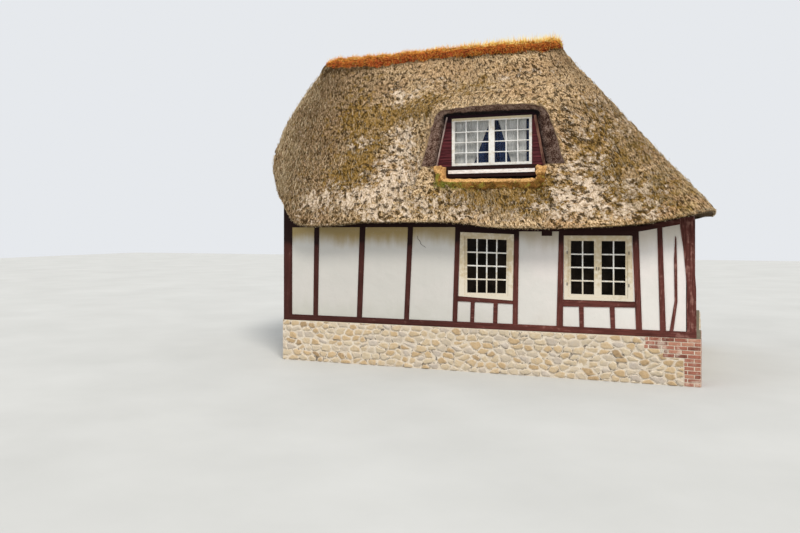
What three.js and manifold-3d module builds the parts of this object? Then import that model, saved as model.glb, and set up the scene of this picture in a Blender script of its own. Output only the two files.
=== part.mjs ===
// A thatched, half-timbered cottage on a rubble and brick plinth, in millimetres, +Z up.
//
// x runs along the front wall and is about 0 at its right corner, y runs from the plastered
// front face towards the back, and z is the height above the ground. Walls lean and posts
// crook as they do on the old house, so most timbers are outlines drawn in the wall's plane
// and given a depth. At the end the whole group is centred over its base.

import * as THREE from "three";
import { mergeVertices } from "three/addons/utils/BufferGeometryUtils.js";
import Module from "manifold-3d";

const wasm = await Module();
wasm.setup();

// The walls
const GAP = 0.3; // left between neighbours that touch
const LEFT_FACE = -8500;
const LEFT_POST_EDGE = LEFT_FACE + 190; // right edge of the left corner post
const RIGHT_FACE = -125;
const BACK_FACE = 5300;
const MIDDLE_Y = BACK_FACE / 2;
const INFILL_DEPTH = 160;
const TIMBER_PROUD = 12; // how far the timbers stand out of the plaster
const TIMBER_DEPTH = 130;
const CORNER_BACK = 190; // back of the front corner posts
const CORNER_TOP = 3500; // the left corner posts run up into the raised eave
const RIGHT_POST_TOP = 3060;
const CORNER_LIFT = 330; // the plates climb as much to the left corners
const CORNER_RISE_END = -7700; // from here
const TENON = 10; // how far joined timbers run into each other
const PLINTH_TOP = 870;
const SILL_TOP = 990;
const PLATE_BOTTOM = 2800;
const PLATE_TOP = 2900;
const PLATE_LIFT = { from: -1050, to: -345, rise: 130 }; // the plate climbs to the right corner
const LEFT_RISE = 85; // and lies higher from the left window to the left corner
const SIDE_PLATE_BOTTOM = 3030;
const SIDE_PLATE_TOP = 3130;

// The plinth
const PLINTH_FRONT = -30;
const PLINTH_RIGHT = 13;
const PLINTH_LEFT = -8525;
const PLINTH_BACK = 5330;
const PLINTH_DEPTH = 400;
const RUBBLE_RIGHT = -20; // the rubble of the right side stands back from the brick corner
const QUOIN_WIDTH = 280;
const COURSE = 72.5; // a brick with its bed
const LONG_COURSES = { count: 3, length: 960 }; // the uppermost bricks reach furthest along the walls
const MIDDLE_COURSES = { count: 2, length: 630 };
const STEP_STONE = { left: -4350, right: -3150, back: 5720, top: 200 };

// The floors
const GROUND_FLOOR = { bottom: 250, top: 400 };
const LOFT_FLOOR = { bottom: 2720, top: 2900 };

// The thatch
const RIDGE_Z = 6970;
const RIDGE_HALF = 200; // half the width of the blunt ridge under its cap
const INNER_RIDGE = { left: -8200, right: -3150, z: 6200 };
const EAVE_ROLL = 70; // how far the lower edge is rounded off under the coat
const ROLL_SHARE = 0.014; // and up the slope, as a share of it
const SWELL_LEAN = 0.7; // below 1 the coat is fullest under the middle of its slope
const ROOF_ROWS = 16;
const SAMPLES_PER_SPAN = 3;
const CAP = { left: -8740, right: -2890, half: 240, shoulder: 60, top: 170 }; // heights above the ridge

// The eyebrow dormer
const HOOD = {
  x: -3930, front: 150, top: 5330, topSlope: 0.45, flank: 0.9, half: 1465, foot: 4130, taper: 0.28,
};
const HOOD_BLEND = 380;
const HOOD_TURN = { none: 0.3, full: 0.72 }; // how squarely the coat must face the front to be swept
const BOARDS = { front: 450, back: 485 };
const DORMER_WINDOW = { left: -4804, right: -3136, bottom: 4150, top: 5130, front: 438, back: 520 };
const APRON = { front: 30, back: BOARDS.front - GAP };
const DORMER_SASH = { left: -4782, right: -3158, bottom: 4172, top: 5100 };
const WINDOW_BOX = { left: -4856, right: -2980, bottom: 3900, top: 4125, front: 220, back: 430, board: 22 };

// The windows
const FRAME_FRONT = -20;
const FRAME_BACK = 110;
const FRAME_PROUD = 20; // how far the back's window and door frames stand out of the plaster
const SASH_RAIL = 48;
const SASH_DEPTH = 45;
const GLASS_DEPTH = 4;
const GLASS_SETBACK = 22; // from the front of the left window's sash
const NET_DEPTH = 25;

const COLOURS = {
  thatch: [0x7d6c4c, 1.0],
  turf: [0xb2602c, 1.0],
  plaster: [0xd9d4c8, 0.9],
  timber: [0x4a1f1b, 0.75],
  rubble: [0xa89a80, 0.95],
  brick: [0x9a5340, 0.9],
  floor: [0x6e5a42, 0.8],
  cream: [0xdccfa6, 0.55],
  white: [0xe9e6da, 0.5],
  glass: [0x1c2226, 0.1],
  apron: [0xb07c48, 1.0],
  net: [0xe8e8e6, 0.9],
  drape: [0x23375e, 0.9],
  door: [0x4a1f1b, 0.7],
  step: [0x9b9384, 0.95],
};

const house = new THREE.Group();

function place(name, geometry, colour) {
  const [color, roughness] = COLOURS[colour];
  const material = new THREE.MeshStandardMaterial({ color, roughness, metalness: 0 });
  const mesh = new THREE.Mesh(geometry, material);
  mesh.name = name;
  house.add(mesh);
  return mesh;
}

// Closed geometry to a solid and back, for the joins and cuts.
function solid(geometry) {
  const bare = geometry.clone();
  bare.deleteAttribute("normal");
  bare.deleteAttribute("uv");
  const merged = mergeVertices(bare, 1e-3);
  const mesh = new wasm.Mesh({
    numProp: 3,
    vertProperties: merged.attributes.position.array,
    triVerts: new Uint32Array(merged.index.array),
  });
  return new wasm.Manifold(mesh);
}

function geometryOf(shape) {
  const { vertProperties, triVerts, numProp } = shape.getMesh();
  const count = vertProperties.length / numProp;
  const positions = new Float32Array(count * 3);
  for (let i = 0; i < count; i++) {
    positions.set(vertProperties.subarray(i * numProp, i * numProp + 3), i * 3);
  }
  const geometry = new THREE.BufferGeometry();
  geometry.setAttribute("position", new THREE.BufferAttribute(positions, 3));
  geometry.setIndex(new THREE.BufferAttribute(new Uint32Array(triVerts), 1));
  return geometry;
}

function cut(geometry, ...cutters) {
  return geometryOf(cutters.reduce((left, cutter) => left.subtract(solid(cutter)), solid(geometry)));
}

function join(...pieces) {
  return geometryOf(pieces.slice(1).reduce((sum, piece) => sum.add(solid(piece)), solid(pieces[0])));
}

function box(x0, x1, y0, y1, z0, z1) {
  return new THREE.BoxGeometry(x1 - x0, y1 - y0, z1 - z0)
    .translate((x0 + x1) / 2, (y0 + y1) / 2, (z0 + z1) / 2);
}

// Outlines are lists of corners. A wall's outline is drawn in x and z and given a depth
// in y; a gable's is drawn in y and z and given a depth in x.
const FACING_FRONT = new THREE.Matrix4().set(1, 0, 0, 0, 0, 0, -1, 0, 0, 1, 0, 0, 0, 0, 0, 1);
const FACING_SIDE = new THREE.Matrix4().set(0, 0, 1, 0, 1, 0, 0, 0, 0, 1, 0, 0, 0, 0, 0, 1);

function extruded(outline, depth, holes) {
  const corners = (list) => list.map(([u, v]) => new THREE.Vector2(u, v));
  const shape = new THREE.Shape(corners(outline));
  shape.holes = holes.map((hole) => new THREE.Path(corners(hole)));
  return new THREE.ExtrudeGeometry(shape, { depth, bevelEnabled: false });
}

function panel(outline, front, back, holes = []) {
  return extruded(outline, back - front, holes).applyMatrix4(FACING_FRONT).translate(0, back, 0);
}

function gablePanel(outline, left, right, holes = []) {
  return extruded(outline, right - left, holes).applyMatrix4(FACING_SIDE).translate(left, 0, 0);
}

// An outline with every edge moved outwards by an amount, or inwards by a negative one.
function grown(outline, amount) {
  const turn = Math.sign(THREE.ShapeUtils.area(outline.map(([x, y]) => ({ x, y }))));
  const outward = ([ax, ay], [bx, by]) => {
    const length = Math.hypot(bx - ax, by - ay) * turn;
    return [(by - ay) / length, (ax - bx) / length];
  };
  return outline.map((point, i) => {
    const before = outward(outline[(i + outline.length - 1) % outline.length], point);
    const after = outward(point, outline[(i + 1) % outline.length]);
    const share = amount / (1 + before[0] * after[0] + before[1] * after[1]);
    return [point[0] + share * (before[0] + after[0]), point[1] + share * (before[1] + after[1])];
  });
}

function rectangle(left, right, bottom, top) {
  return [[left, bottom], [right, bottom], [right, top], [left, top]];
}

// The front timbers. A post is given by the x of its left and right edges at the foot and
// at the head; it stands on the sill and reaches the plate, which lies higher at the left
// and climbs again at the right end.
const PLATE_STEP = -4491; // where the higher part ends, beside the left window's post

function plateUnderside(x) {
  if (x < PLATE_STEP) return PLATE_BOTTOM + LEFT_RISE;
  const { from, to, rise } = PLATE_LIFT;
  return PLATE_BOTTOM + rise * THREE.MathUtils.clamp((x - from) / (to - from), 0, 1);
}

function postOutline({ foot, head }) {
  return [
    [foot[0], SILL_TOP + GAP],
    [foot[1], SILL_TOP + GAP],
    [head[1], plateUnderside(head[1]) - GAP],
    [head[0], plateUnderside(head[0]) - GAP],
  ];
}

function edgeAt({ foot, head }, side, z) {
  const share = (z - SILL_TOP) / (plateUnderside(head[side]) - SILL_TOP);
  return THREE.MathUtils.lerp(foot[side], head[side], share);
}

const POSTS = {
  front_post_far_left: { foot: [-7790, -7680], head: [-7765, -7650] },
  front_post_left: { foot: [-6760, -6645], head: [-6692, -6566] },
  front_post_middle: { foot: [-5695, -5590], head: [-5608, -5501] },
  left_window_post_left: { foot: [-4652, -4556], head: [-4591, -4492] },
  left_window_post_right: { foot: [-3424, -3324], head: [-3391, -3297] },
  right_window_post_left: { foot: [-2570, -2448], head: [-2524, -2434] },
  right_window_post_right: { foot: [-1107, -1000], head: [-1176, -1062] },
  corner_stud: { foot: [-686, -583], head: [-736, -648] },
};

// Window openings of the ground floor. The left one is racked with its wall.
const LEFT_PANE = [[-4351, 1576], [-3559, 1582], [-3542, 2634], [-4351, 2658]];
const LEFT_FRAME = [[-4520, 1503], [-3422, 1448], [-3396, 2744], [-4484, 2786]];
const RIGHT_FRAME = [[-2424, 1503], [-1160, 1503], [-1185, 2722], [-2424, 2722]];
const RIGHT_OPENING = rectangle(-2352, -1247, 1556, 2672);

// Between the posts of a window the plate comes down to the head of its frame.
function headOver([, , [rightX, rightZ], [leftX, leftZ]], leftPost, rightPost) {
  const slope = (rightZ - leftZ) / (rightX - leftX);
  const left = edgeAt(leftPost, 1, leftZ) + GAP;
  const right = edgeAt(rightPost, 0, rightZ) - GAP;
  const at = (x) => [x, leftZ + (x - leftX) * slope + GAP];
  return [
    [leftPost.head[1] + GAP, plateUnderside(leftPost.head[1])],
    at(left),
    at(right),
    [rightPost.head[0] - GAP, PLATE_BOTTOM],
  ];
}

const JOIST_END = { left: -2853, right: -2656, drop: 85 };
const PLATE_TOP_EDGE = [ // of both long plates, from the right
  [PLATE_LIFT.to, PLATE_TOP + PLATE_LIFT.rise],
  [PLATE_LIFT.from, PLATE_TOP],
  [POSTS.left_window_post_right.head[0], PLATE_TOP],
  [PLATE_STEP, PLATE_TOP + LEFT_RISE],
  [CORNER_RISE_END, PLATE_TOP + LEFT_RISE],
];
const frontOutlines = {
  front_sill_beam: rectangle(LEFT_FACE - TIMBER_PROUD, -62, PLINTH_TOP, SILL_TOP),
  front_wall_plate: [
    [LEFT_POST_EDGE + GAP, PLATE_BOTTOM + LEFT_RISE],
    ...headOver(LEFT_FRAME, POSTS.left_window_post_left, POSTS.left_window_post_right),
    [JOIST_END.left, PLATE_BOTTOM],
    [JOIST_END.left, PLATE_BOTTOM - JOIST_END.drop],
    [JOIST_END.right, PLATE_BOTTOM - JOIST_END.drop],
    [JOIST_END.right, PLATE_BOTTOM],
    ...headOver(RIGHT_FRAME, POSTS.right_window_post_left, POSTS.right_window_post_right),
    [PLATE_LIFT.from, PLATE_BOTTOM],
    [PLATE_LIFT.to, PLATE_BOTTOM + PLATE_LIFT.rise],
    ...PLATE_TOP_EDGE,
    [LEFT_POST_EDGE + GAP, PLATE_TOP + CORNER_LIFT],
  ],
  corner_post_left: rectangle(LEFT_FACE - TIMBER_PROUD, LEFT_POST_EDGE, SILL_TOP + GAP, CORNER_TOP),
  corner_post_right: [
    [-224, SILL_TOP + GAP],
    [-64, SILL_TOP + GAP],
    [-66, 1745],
    [-96, 2160],
    [-113, RIGHT_POST_TOP],
    [-344, RIGHT_POST_TOP],
    [-342, 2889],
    [-285, 2500],
    [-243, 2034],
    [-219, 1780],
    [-233, 1563],
  ],
  crooked_strut: [
    [-520, SILL_TOP + GAP],
    [-455, SILL_TOP + GAP],
    [-385, 1520],
    [-390, 2200],
    [-405, 2690],
    [-425, 2720],
    [-445, 2300],
    [-435, 1540],
  ],
};
for (const [name, post] of Object.entries(POSTS)) frontOutlines[name] = postOutline(post);

// Each window rail is one timber with its short studs tenoned into it.
function windowRail(leftPost, rightPost, top, bottom, studs) {
  const middle = (top[0] + bottom[0]) / 2;
  const left = edgeAt(leftPost, 1, middle) + 3;
  const right = edgeAt(rightPost, 0, middle) - 3;
  const rail = [[left, bottom[0]], [right, bottom[1]], [right, top[1]], [left, top[0]]];
  const legs = studs.map(([footLeft, footRight, headLeft, headRight]) => [
    [footLeft, SILL_TOP + GAP],
    [footRight, SILL_TOP + GAP],
    [headRight, middle],
    [headLeft, middle],
  ]);
  return [rail, ...legs];
}

const rails = {
  left_window_rail: windowRail(
    POSTS.left_window_post_left, POSTS.left_window_post_right,
    [1502, 1447], [1398, 1378],
    [[-4284, -4204, -4270, -4187], [-3816, -3731, -3804, -3718]],
  ),
  right_window_rail: windowRail(
    POSTS.right_window_post_left, POSTS.right_window_post_right,
    [1502.7, 1502.7], [1366, 1392],
    [[-2135, -2053, -2148, -2060], [-1562, -1480, -1584, -1492]],
  ),
};

const FRONT_FACE = -TIMBER_PROUD;
const timberBack = (name) => (name.startsWith("corner_post") ? CORNER_BACK : TIMBER_DEPTH);
const UNDER_THATCH = ["front_wall_plate", "corner_post_left", "corner_post_right"]; // trimmed to it below
const frontTimber = (name) => panel(frontOutlines[name], FRONT_FACE, timberBack(name));
for (const name of Object.keys(frontOutlines)) {
  if (!UNDER_THATCH.includes(name)) place(name, frontTimber(name), "timber");
}
for (const [name, outlines] of Object.entries(rails)) {
  place(name, join(...outlines.map((outline) => panel(outline, FRONT_FACE, TIMBER_DEPTH))), "timber");
}

// A slot that lets a timber into the plaster, open at the wall's face.
function slot(outline, back) {
  return panel(grown(outline, GAP), FRONT_FACE - 10, back + GAP);
}

const INFILL_RIGHT = -240; // inside the right corner post
const frontInfill = panel(
  [
    [LEFT_POST_EDGE + GAP, SILL_TOP + GAP],
    [INFILL_RIGHT, SILL_TOP + GAP],
    [INFILL_RIGHT, plateUnderside(INFILL_RIGHT) - GAP],
    [PLATE_LIFT.to, plateUnderside(PLATE_LIFT.to) - GAP],
    [PLATE_LIFT.from, PLATE_BOTTOM - GAP],
    [PLATE_STEP, PLATE_BOTTOM - GAP],
    [PLATE_STEP, PLATE_BOTTOM + LEFT_RISE - GAP],
    [LEFT_POST_EDGE + GAP, PLATE_BOTTOM + LEFT_RISE - GAP],
  ],
  0,
  INFILL_DEPTH,
  [grown(LEFT_FRAME, GAP), grown(RIGHT_FRAME, GAP)],
);
place(
  "front_wall",
  cut(
    frontInfill,
    ...Object.entries(frontOutlines).map(([name, outline]) =>
      slot(outline, timberBack(name))),
    ...Object.values(rails).flat().map((outline) => slot(outline, TIMBER_DEPTH)),
  ),
  "plaster",
);

// Windows: a frame in the wall, sashes in the frame and a sheet of glass.
const leftOpening = grown(LEFT_PANE, SASH_RAIL + GAP);
place("left_window_frame", panel(LEFT_FRAME, FRAME_FRONT, FRAME_BACK, [leftOpening]), "cream");
place("left_window_sash", panel(grown(LEFT_PANE, SASH_RAIL), 0, SASH_DEPTH, [LEFT_PANE]), "cream");

function casement(name, outline, pane, front, colour) {
  place(name, panel(outline, front, front + SASH_DEPTH, [pane]), colour);
}

function glazed(name, opening, front) {
  place(name, panel(grown(opening, -GAP), front, front + GLASS_DEPTH), "glass");
}

glazed("left_window_glass", LEFT_PANE, GLASS_SETBACK);

place("right_window_frame", panel(RIGHT_FRAME, FRAME_FRONT, FRAME_BACK, [RIGHT_OPENING]), "cream");
const [RIGHT_LOW, RIGHT_HIGH] = [1556 + GAP, 2672 - GAP];
casement(
  "right_window_casement_left",
  rectangle(-2352 + GAP, -1800, RIGHT_LOW, RIGHT_HIGH),
  rectangle(-2302, -1866, 1609, 2622),
  0,
  "cream",
);
casement(
  "right_window_casement_right",
  rectangle(-1800 + GAP, -1247 - GAP, RIGHT_LOW, RIGHT_HIGH),
  rectangle(-1732, -1297, 1609, 2622),
  0,
  "cream",
);
glazed("right_window_glass", RIGHT_OPENING, SASH_DEPTH + GAP);

// The back wall: timbers joined in one frame, with a door and one window.
const BACK_POST_XS = [-7650, -6500, -5400, -4260, -3240, -2200, -1150];
const BACK_POST_WIDTH = 105;
const BACK_CORNER_EDGE = -260; // inner edge of the back right corner post
const DOOR = { left: -4207, right: -3293, bottom: GROUND_FLOOR.top, top: 2400, jamb: 60 };
const BACK_WINDOW_SILL = 1500;
const BACK_WINDOW = rectangle(-7597, -6553, BACK_WINDOW_SILL, 2640);
const BACK_RAIL_DEPTH = 110;
const backTimberFront = BACK_FACE + TIMBER_PROUD - TIMBER_DEPTH;
const doorway = rectangle(DOOR.left, DOOR.right, DOOR.bottom, DOOR.top);
const [backLeft, backRight] = [LEFT_FACE - TIMBER_PROUD, RIGHT_FACE + TIMBER_PROUD];
const backRailTop = BACK_WINDOW_SILL - GAP;
const backTimbers = [
  rectangle(backLeft, backRight, PLINTH_TOP, SILL_TOP),
  [[LEFT_POST_EDGE - TENON, PLATE_BOTTOM], [backRight, PLATE_BOTTOM],
    [backRight, PLATE_TOP + PLATE_LIFT.rise], ...PLATE_TOP_EDGE,
    [LEFT_POST_EDGE - TENON, PLATE_TOP + CORNER_LIFT]],
  rectangle(backLeft, LEFT_POST_EDGE, PLINTH_TOP, CORNER_TOP),
  rectangle(BACK_CORNER_EDGE, backRight, PLINTH_TOP, RIGHT_POST_TOP),
  ...BACK_POST_XS.map((x) =>
    rectangle(x - BACK_POST_WIDTH / 2, x + BACK_POST_WIDTH / 2, SILL_TOP - TENON, PLATE_BOTTOM + TENON)),
  rectangle(BACK_POST_XS[0], BACK_POST_XS[1], backRailTop - BACK_RAIL_DEPTH, backRailTop),
  rectangle(BACK_POST_XS[3], BACK_POST_XS[4], DOOR.top + GAP, DOOR.top + GAP + BACK_RAIL_DEPTH),
];
const backSlots = backTimbers.map((outline) =>
  panel(grown(outline, GAP), backTimberFront - GAP, BACK_FACE + 2 * TIMBER_PROUD));
const backDoorway = panel(grown(doorway, GAP), BACK_FACE - PLINTH_DEPTH, BACK_FACE + PLINTH_DEPTH);
const backFrame = cut(
  join(...backTimbers.map((outline) => panel(outline, backTimberFront, BACK_FACE + TIMBER_PROUD))),
  backDoorway,
);
place(
  "back_wall",
  cut(
    panel(
      rectangle(LEFT_POST_EDGE + GAP, BACK_CORNER_EDGE, SILL_TOP + GAP, PLATE_BOTTOM - GAP),
      BACK_FACE - INFILL_DEPTH,
      BACK_FACE,
      [grown(BACK_WINDOW, GAP)],
    ),
    ...backSlots,
    backDoorway,
  ),
  "plaster",
);
const backPane = grown(BACK_WINDOW, -110);
const [backFrameInner, backFrameOuter] = [BACK_FACE - FRAME_BACK, BACK_FACE + FRAME_PROUD];
place("back_window_frame", panel(BACK_WINDOW, backFrameInner, backFrameOuter, [backPane]), "cream");
glazed("back_window_glass", backPane, BACK_FACE - GLASS_SETBACK - GLASS_DEPTH);
const doorLeaf = rectangle(
  DOOR.left + DOOR.jamb + GAP, DOOR.right - DOOR.jamb - GAP, DOOR.bottom + GAP, DOOR.top - DOOR.jamb - GAP,
);
const doorFrame = [
  [DOOR.left, DOOR.bottom],
  [DOOR.left + DOOR.jamb, DOOR.bottom],
  [DOOR.left + DOOR.jamb, DOOR.top - DOOR.jamb],
  [DOOR.right - DOOR.jamb, DOOR.top - DOOR.jamb],
  [DOOR.right - DOOR.jamb, DOOR.bottom],
  [DOOR.right, DOOR.bottom],
  [DOOR.right, DOOR.top],
  [DOOR.left, DOOR.top],
];
place("back_door_frame", panel(doorFrame, BACK_FACE - FRAME_BACK, BACK_FACE + FRAME_PROUD), "cream");
const DOOR_SETBACK = 15;
place("back_door", panel(doorLeaf, BACK_FACE - DOOR_SETBACK - SASH_DEPTH, BACK_FACE - DOOR_SETBACK), "door");

// The plinth: rubble, with brick at the front right corner. The brick reaches along both
// walls in steps, which are given as distances from where it starts and heights.
const innerRight = PLINTH_RIGHT - PLINTH_DEPTH;
const innerLeft = PLINTH_LEFT + PLINTH_DEPTH;
const innerFront = PLINTH_FRONT + PLINTH_DEPTH;
const innerBack = PLINTH_BACK - PLINTH_DEPTH;
const stoneTop = PLINTH_TOP - GAP;
const longBottom = PLINTH_TOP - LONG_COURSES.count * COURSE;
const middleBottom = longBottom - MIDDLE_COURSES.count * COURSE;

function brickEdge(clear) {
  return [
    [QUOIN_WIDTH + clear, 0],
    [QUOIN_WIDTH + clear, middleBottom - clear],
    [MIDDLE_COURSES.length + clear, middleBottom - clear],
    [MIDDLE_COURSES.length + clear, longBottom - clear],
    [LONG_COURSES.length + clear, longBottom - clear],
    [LONG_COURSES.length + clear, stoneTop],
  ];
}

const alongFront = (clear) => brickEdge(clear).map(([reach, z]) => [PLINTH_RIGHT - reach, z]);
const alongSide = (clear) => brickEdge(clear).map(([reach, z]) => [innerFront + reach, z]);
place(
  "plinth_front",
  panel([[PLINTH_LEFT, 0], ...alongFront(GAP), [PLINTH_LEFT, stoneTop]], PLINTH_FRONT, innerFront),
  "rubble",
);
const quoinEdge = PLINTH_RIGHT - QUOIN_WIDTH;
const behindFront = innerFront + GAP;
const frontQuoin = [[PLINTH_RIGHT, 0], ...alongFront(0), [PLINTH_RIGHT, stoneTop]].reverse();
place(
  "brick_corner",
  join(
    panel(frontQuoin, PLINTH_FRONT, innerFront),
    gablePanel([[PLINTH_FRONT, 0], ...alongSide(0), [PLINTH_FRONT, stoneTop]], quoinEdge, PLINTH_RIGHT),
    gablePanel([[behindFront, 0], ...alongSide(0), [behindFront, stoneTop]], innerRight, PLINTH_RIGHT),
  ),
  "brick",
);
const rightRubble = [...alongSide(GAP), [innerBack - GAP, stoneTop], [innerBack - GAP, 0]].reverse();
place("plinth_right", gablePanel(rightRubble, innerRight, RUBBLE_RIGHT), "rubble");
place("plinth_left", box(PLINTH_LEFT, innerLeft, innerFront + GAP, innerBack - GAP, 0, stoneTop), "rubble");
place(
  "plinth_back",
  panel(
    [[PLINTH_LEFT, 0], [RUBBLE_RIGHT, 0], [RUBBLE_RIGHT, stoneTop], [DOOR.right + GAP, stoneTop],
      [DOOR.right + GAP, DOOR.bottom - GAP], [DOOR.left - GAP, DOOR.bottom - GAP],
      [DOOR.left - GAP, stoneTop], [PLINTH_LEFT, stoneTop]],
    innerBack,
    PLINTH_BACK,
  ),
  "rubble",
);
place(
  "doorstep",
  box(STEP_STONE.left, STEP_STONE.right, PLINTH_BACK + GAP, STEP_STONE.back, 0, STEP_STONE.top),
  "step",
);
const { bottom: floorBottom, top: floorTop } = GROUND_FLOOR;
place(
  "ground_floor",
  box(innerLeft + GAP, innerRight - GAP, innerFront + GAP, innerBack - GAP, floorBottom, floorTop),
  "floor",
);

// The thatch. Its lower edge is half a loop, from the middle of the left end round the
// front to the middle of the right end, and the back mirrors it. Each point gives x, y, z,
// the x on the ridge that its straw runs up to, how far the coat swells outwards, and the
// width of the flat underside there.
const EAVE = [
  [-9370, 2650, 4560, -8560, 300, 900],
  [-9340, 1700, 4510, -8560, 300, 860],
  [-9230, 1000, 4350, -8560, 300, 780],
  [-8990, 400, 4060, -8560, 280, 660],
  [-8680, 0, 3620, -8560, 240, 560],
  [-8450, -200, 3390, -8540, 180, 520],
  [-8035, -420, 2950, -8460, 120, 560],
  [-7300, -510, 2900, -8200, 60, 620],
  [-6500, -530, 2965, -7600, 30, 620],
  [-5500, -530, 2973, -6700, 10, 620],
  [-4550, -530, 2965, -5840, 0, 620],
  [-3800, -530, 2878, -5280, 0, 620],
  [-3250, -530, 2850, -4870, 0, 620],
  [-2450, -530, 2847, -4300, 0, 620],
  [-1120, -530, 2915, -3620, 0, 620],
  [-330, -520, 3045, -3290, -30, 620],
  [150, -440, 3150, -3190, -50, 620],
  [290, 60, 3155, -3190, -50, 620],
  [320, 1300, 3130, -3190, -50, 620],
  [320, 2650, 3140, -3190, -50, 620],
];

function eaveStations() {
  const through = (points) => new THREE.CatmullRomCurve3(points, false, "catmullrom");
  const edge = through(EAVE.map(([x, y, z]) => new THREE.Vector3(x, y, z)));
  const guide = through(EAVE.map(([, , , ...guides]) => new THREE.Vector3(...guides)));
  const count = (EAVE.length - 1) * SAMPLES_PER_SPAN;
  const half = [];
  for (let i = 0; i <= count; i++) {
    const foot = edge.getPoint(i / count);
    const { x: along, y: swell, z: depth } = guide.getPoint(i / count);
    const ridge = THREE.MathUtils.clamp(along, EAVE[0][3], EAVE[EAVE.length - 1][3]);
    const head = new THREE.Vector3(ridge, MIDDLE_Y, RIDGE_Z);
    const out = new THREE.Vector3(foot.x - ridge, foot.y - MIDDLE_Y, 0).normalize();
    const tangent = edge.getTangent(i / count).setZ(0).normalize();
    const inward = new THREE.Vector3(-tangent.y, tangent.x, 0);
    const inner = foot.clone().addScaledVector(inward, depth);
    const rolled = foot.clone().addScaledVector(inward, EAVE_ROLL);
    half.push({ foot, head, out, inner, rolled, swell });
  }
  const mirrored = (v) => new THREE.Vector3(v.x, -v.y, v.z);
  const across = (v) => new THREE.Vector3(v.x, BACK_FACE - v.y, v.z);
  const back = half.slice(1, -1).reverse().map(({ foot, head, out, inner, rolled, swell }) => ({
    foot: across(foot),
    head: across(head),
    out: mirrored(out),
    inner: across(inner),
    rolled: across(rolled),
    swell,
  }));
  return [...half, ...back];
}

// The face of the eyebrow hood: y on the plane of its mouth, falling back over and beside it.
function hoodFace(x, z) {
  const half = HOOD.half - (z - HOOD.foot) * HOOD.taper;
  const above = Math.max(0, z - HOOD.top) / HOOD.topSlope;
  const beside = Math.max(0, Math.abs(x - HOOD.x) - half) * HOOD.flank;
  return HOOD.front + Math.hypot(above, beside);
}

function smoothLower(a, b, width) {
  const near = Math.max(width - Math.abs(a - b), 0) / width;
  return Math.min(a, b) - near * near * width / 4;
}

function onRoof({ foot, head, out, swell }, share) {
  const top = head.clone().addScaledVector(out, RIDGE_HALF);
  const bulge = swell * Math.sin(Math.PI * share ** SWELL_LEAN);
  const point = foot.clone().lerp(top, share).addScaledVector(out, bulge);
  const frontal = THREE.MathUtils.smoothstep(-out.y, HOOD_TURN.none, HOOD_TURN.full);
  const fade = THREE.MathUtils.smoothstep(share, 0.02, 0.2) * frontal;
  const swept = smoothLower(point.y, hoodFace(point.x, point.z), HOOD_BLEND);
  point.y = THREE.MathUtils.lerp(point.y, swept, fade);
  return point;
}

// Closes a stack of rings into one skin; rings that fold onto a line are welded there.
function skin(rings) {
  const positions = [];
  const numbers = new Map();
  const number = (v) => {
    const key = [v.x, v.y, v.z].map((value) => Math.round(value * 100)).join();
    if (!numbers.has(key)) {
      numbers.set(key, positions.length / 3);
      positions.push(v.x, v.y, v.z);
    }
    return numbers.get(key);
  };
  const table = rings.map((ring) => ring.map(number));
  const faces = [];
  const face = (a, b, c) => {
    if (a !== b && b !== c && a !== c) faces.push(a, b, c);
  };
  for (let k = 0; k + 1 < table.length; k++) {
    const count = table[k].length;
    for (let i = 0; i < count; i++) {
      const j = (i + 1) % count;
      face(table[k][i], table[k + 1][i], table[k + 1][j]);
      face(table[k][i], table[k + 1][j], table[k][j]);
    }
  }
  const geometry = new THREE.BufferGeometry();
  geometry.setAttribute("position", new THREE.Float32BufferAttribute(positions, 3));
  geometry.setIndex(faces);
  return geometry;
}

const stations = eaveStations();

function thatchSkin() {
  const rings = [stations.map(({ head }) => head)];
  for (let row = ROOF_ROWS; row >= 1; row--) {
    rings.push(stations.map((station) => onRoof(station, row / ROOF_ROWS)));
  }
  rings.push(stations.map((station) => onRoof(station, ROLL_SHARE)));
  rings.push(stations.map(({ rolled }) => rolled));
  const innerHead = ({ head }) => {
    const x = THREE.MathUtils.clamp(head.x, INNER_RIDGE.left, INNER_RIDGE.right);
    return new THREE.Vector3(x, MIDDLE_Y, INNER_RIDGE.z);
  };
  for (const share of [0, 0.35, 0.7, 1]) {
    rings.push(stations.map((station) => station.inner.clone().lerp(innerHead(station), share)));
  }
  return skin(rings);
}

// The dormer's throat narrows from the mouth in the thatch to the boarded face. Both
// outlines are arches with straight sides, eased corners and a slightly crowned head.
function arch({ footLeft, headLeft, headRight, footRight, ease, crown }) {
  const corner = (from, at, to) => {
    const before = new THREE.Vector2(...at).lerp(new THREE.Vector2(...from), ease / distance(at, from));
    const after = new THREE.Vector2(...at).lerp(new THREE.Vector2(...to), ease / distance(at, to));
    return [before, after];
  };
  const [leftLow, leftHigh] = corner(footLeft, headLeft, headRight);
  const [rightHigh, rightLow] = corner(headLeft, headRight, footRight);
  const path = new THREE.Path();
  path.moveTo(...footLeft);
  path.lineTo(leftLow.x, leftLow.y);
  path.quadraticCurveTo(headLeft[0], headLeft[1], leftHigh.x, leftHigh.y);
  const middle = leftHigh.clone().add(rightHigh).divideScalar(2);
  path.quadraticCurveTo(middle.x, middle.y + 2 * crown, rightHigh.x, rightHigh.y);
  path.quadraticCurveTo(headRight[0], headRight[1], rightLow.x, rightLow.y);
  path.lineTo(...footRight);
  return path.getPoints(5).map(({ x, y }) => [x, y]);
}

function distance([ax, ay], [bx, by]) {
  return Math.hypot(bx - ax, by - ay);
}

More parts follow.
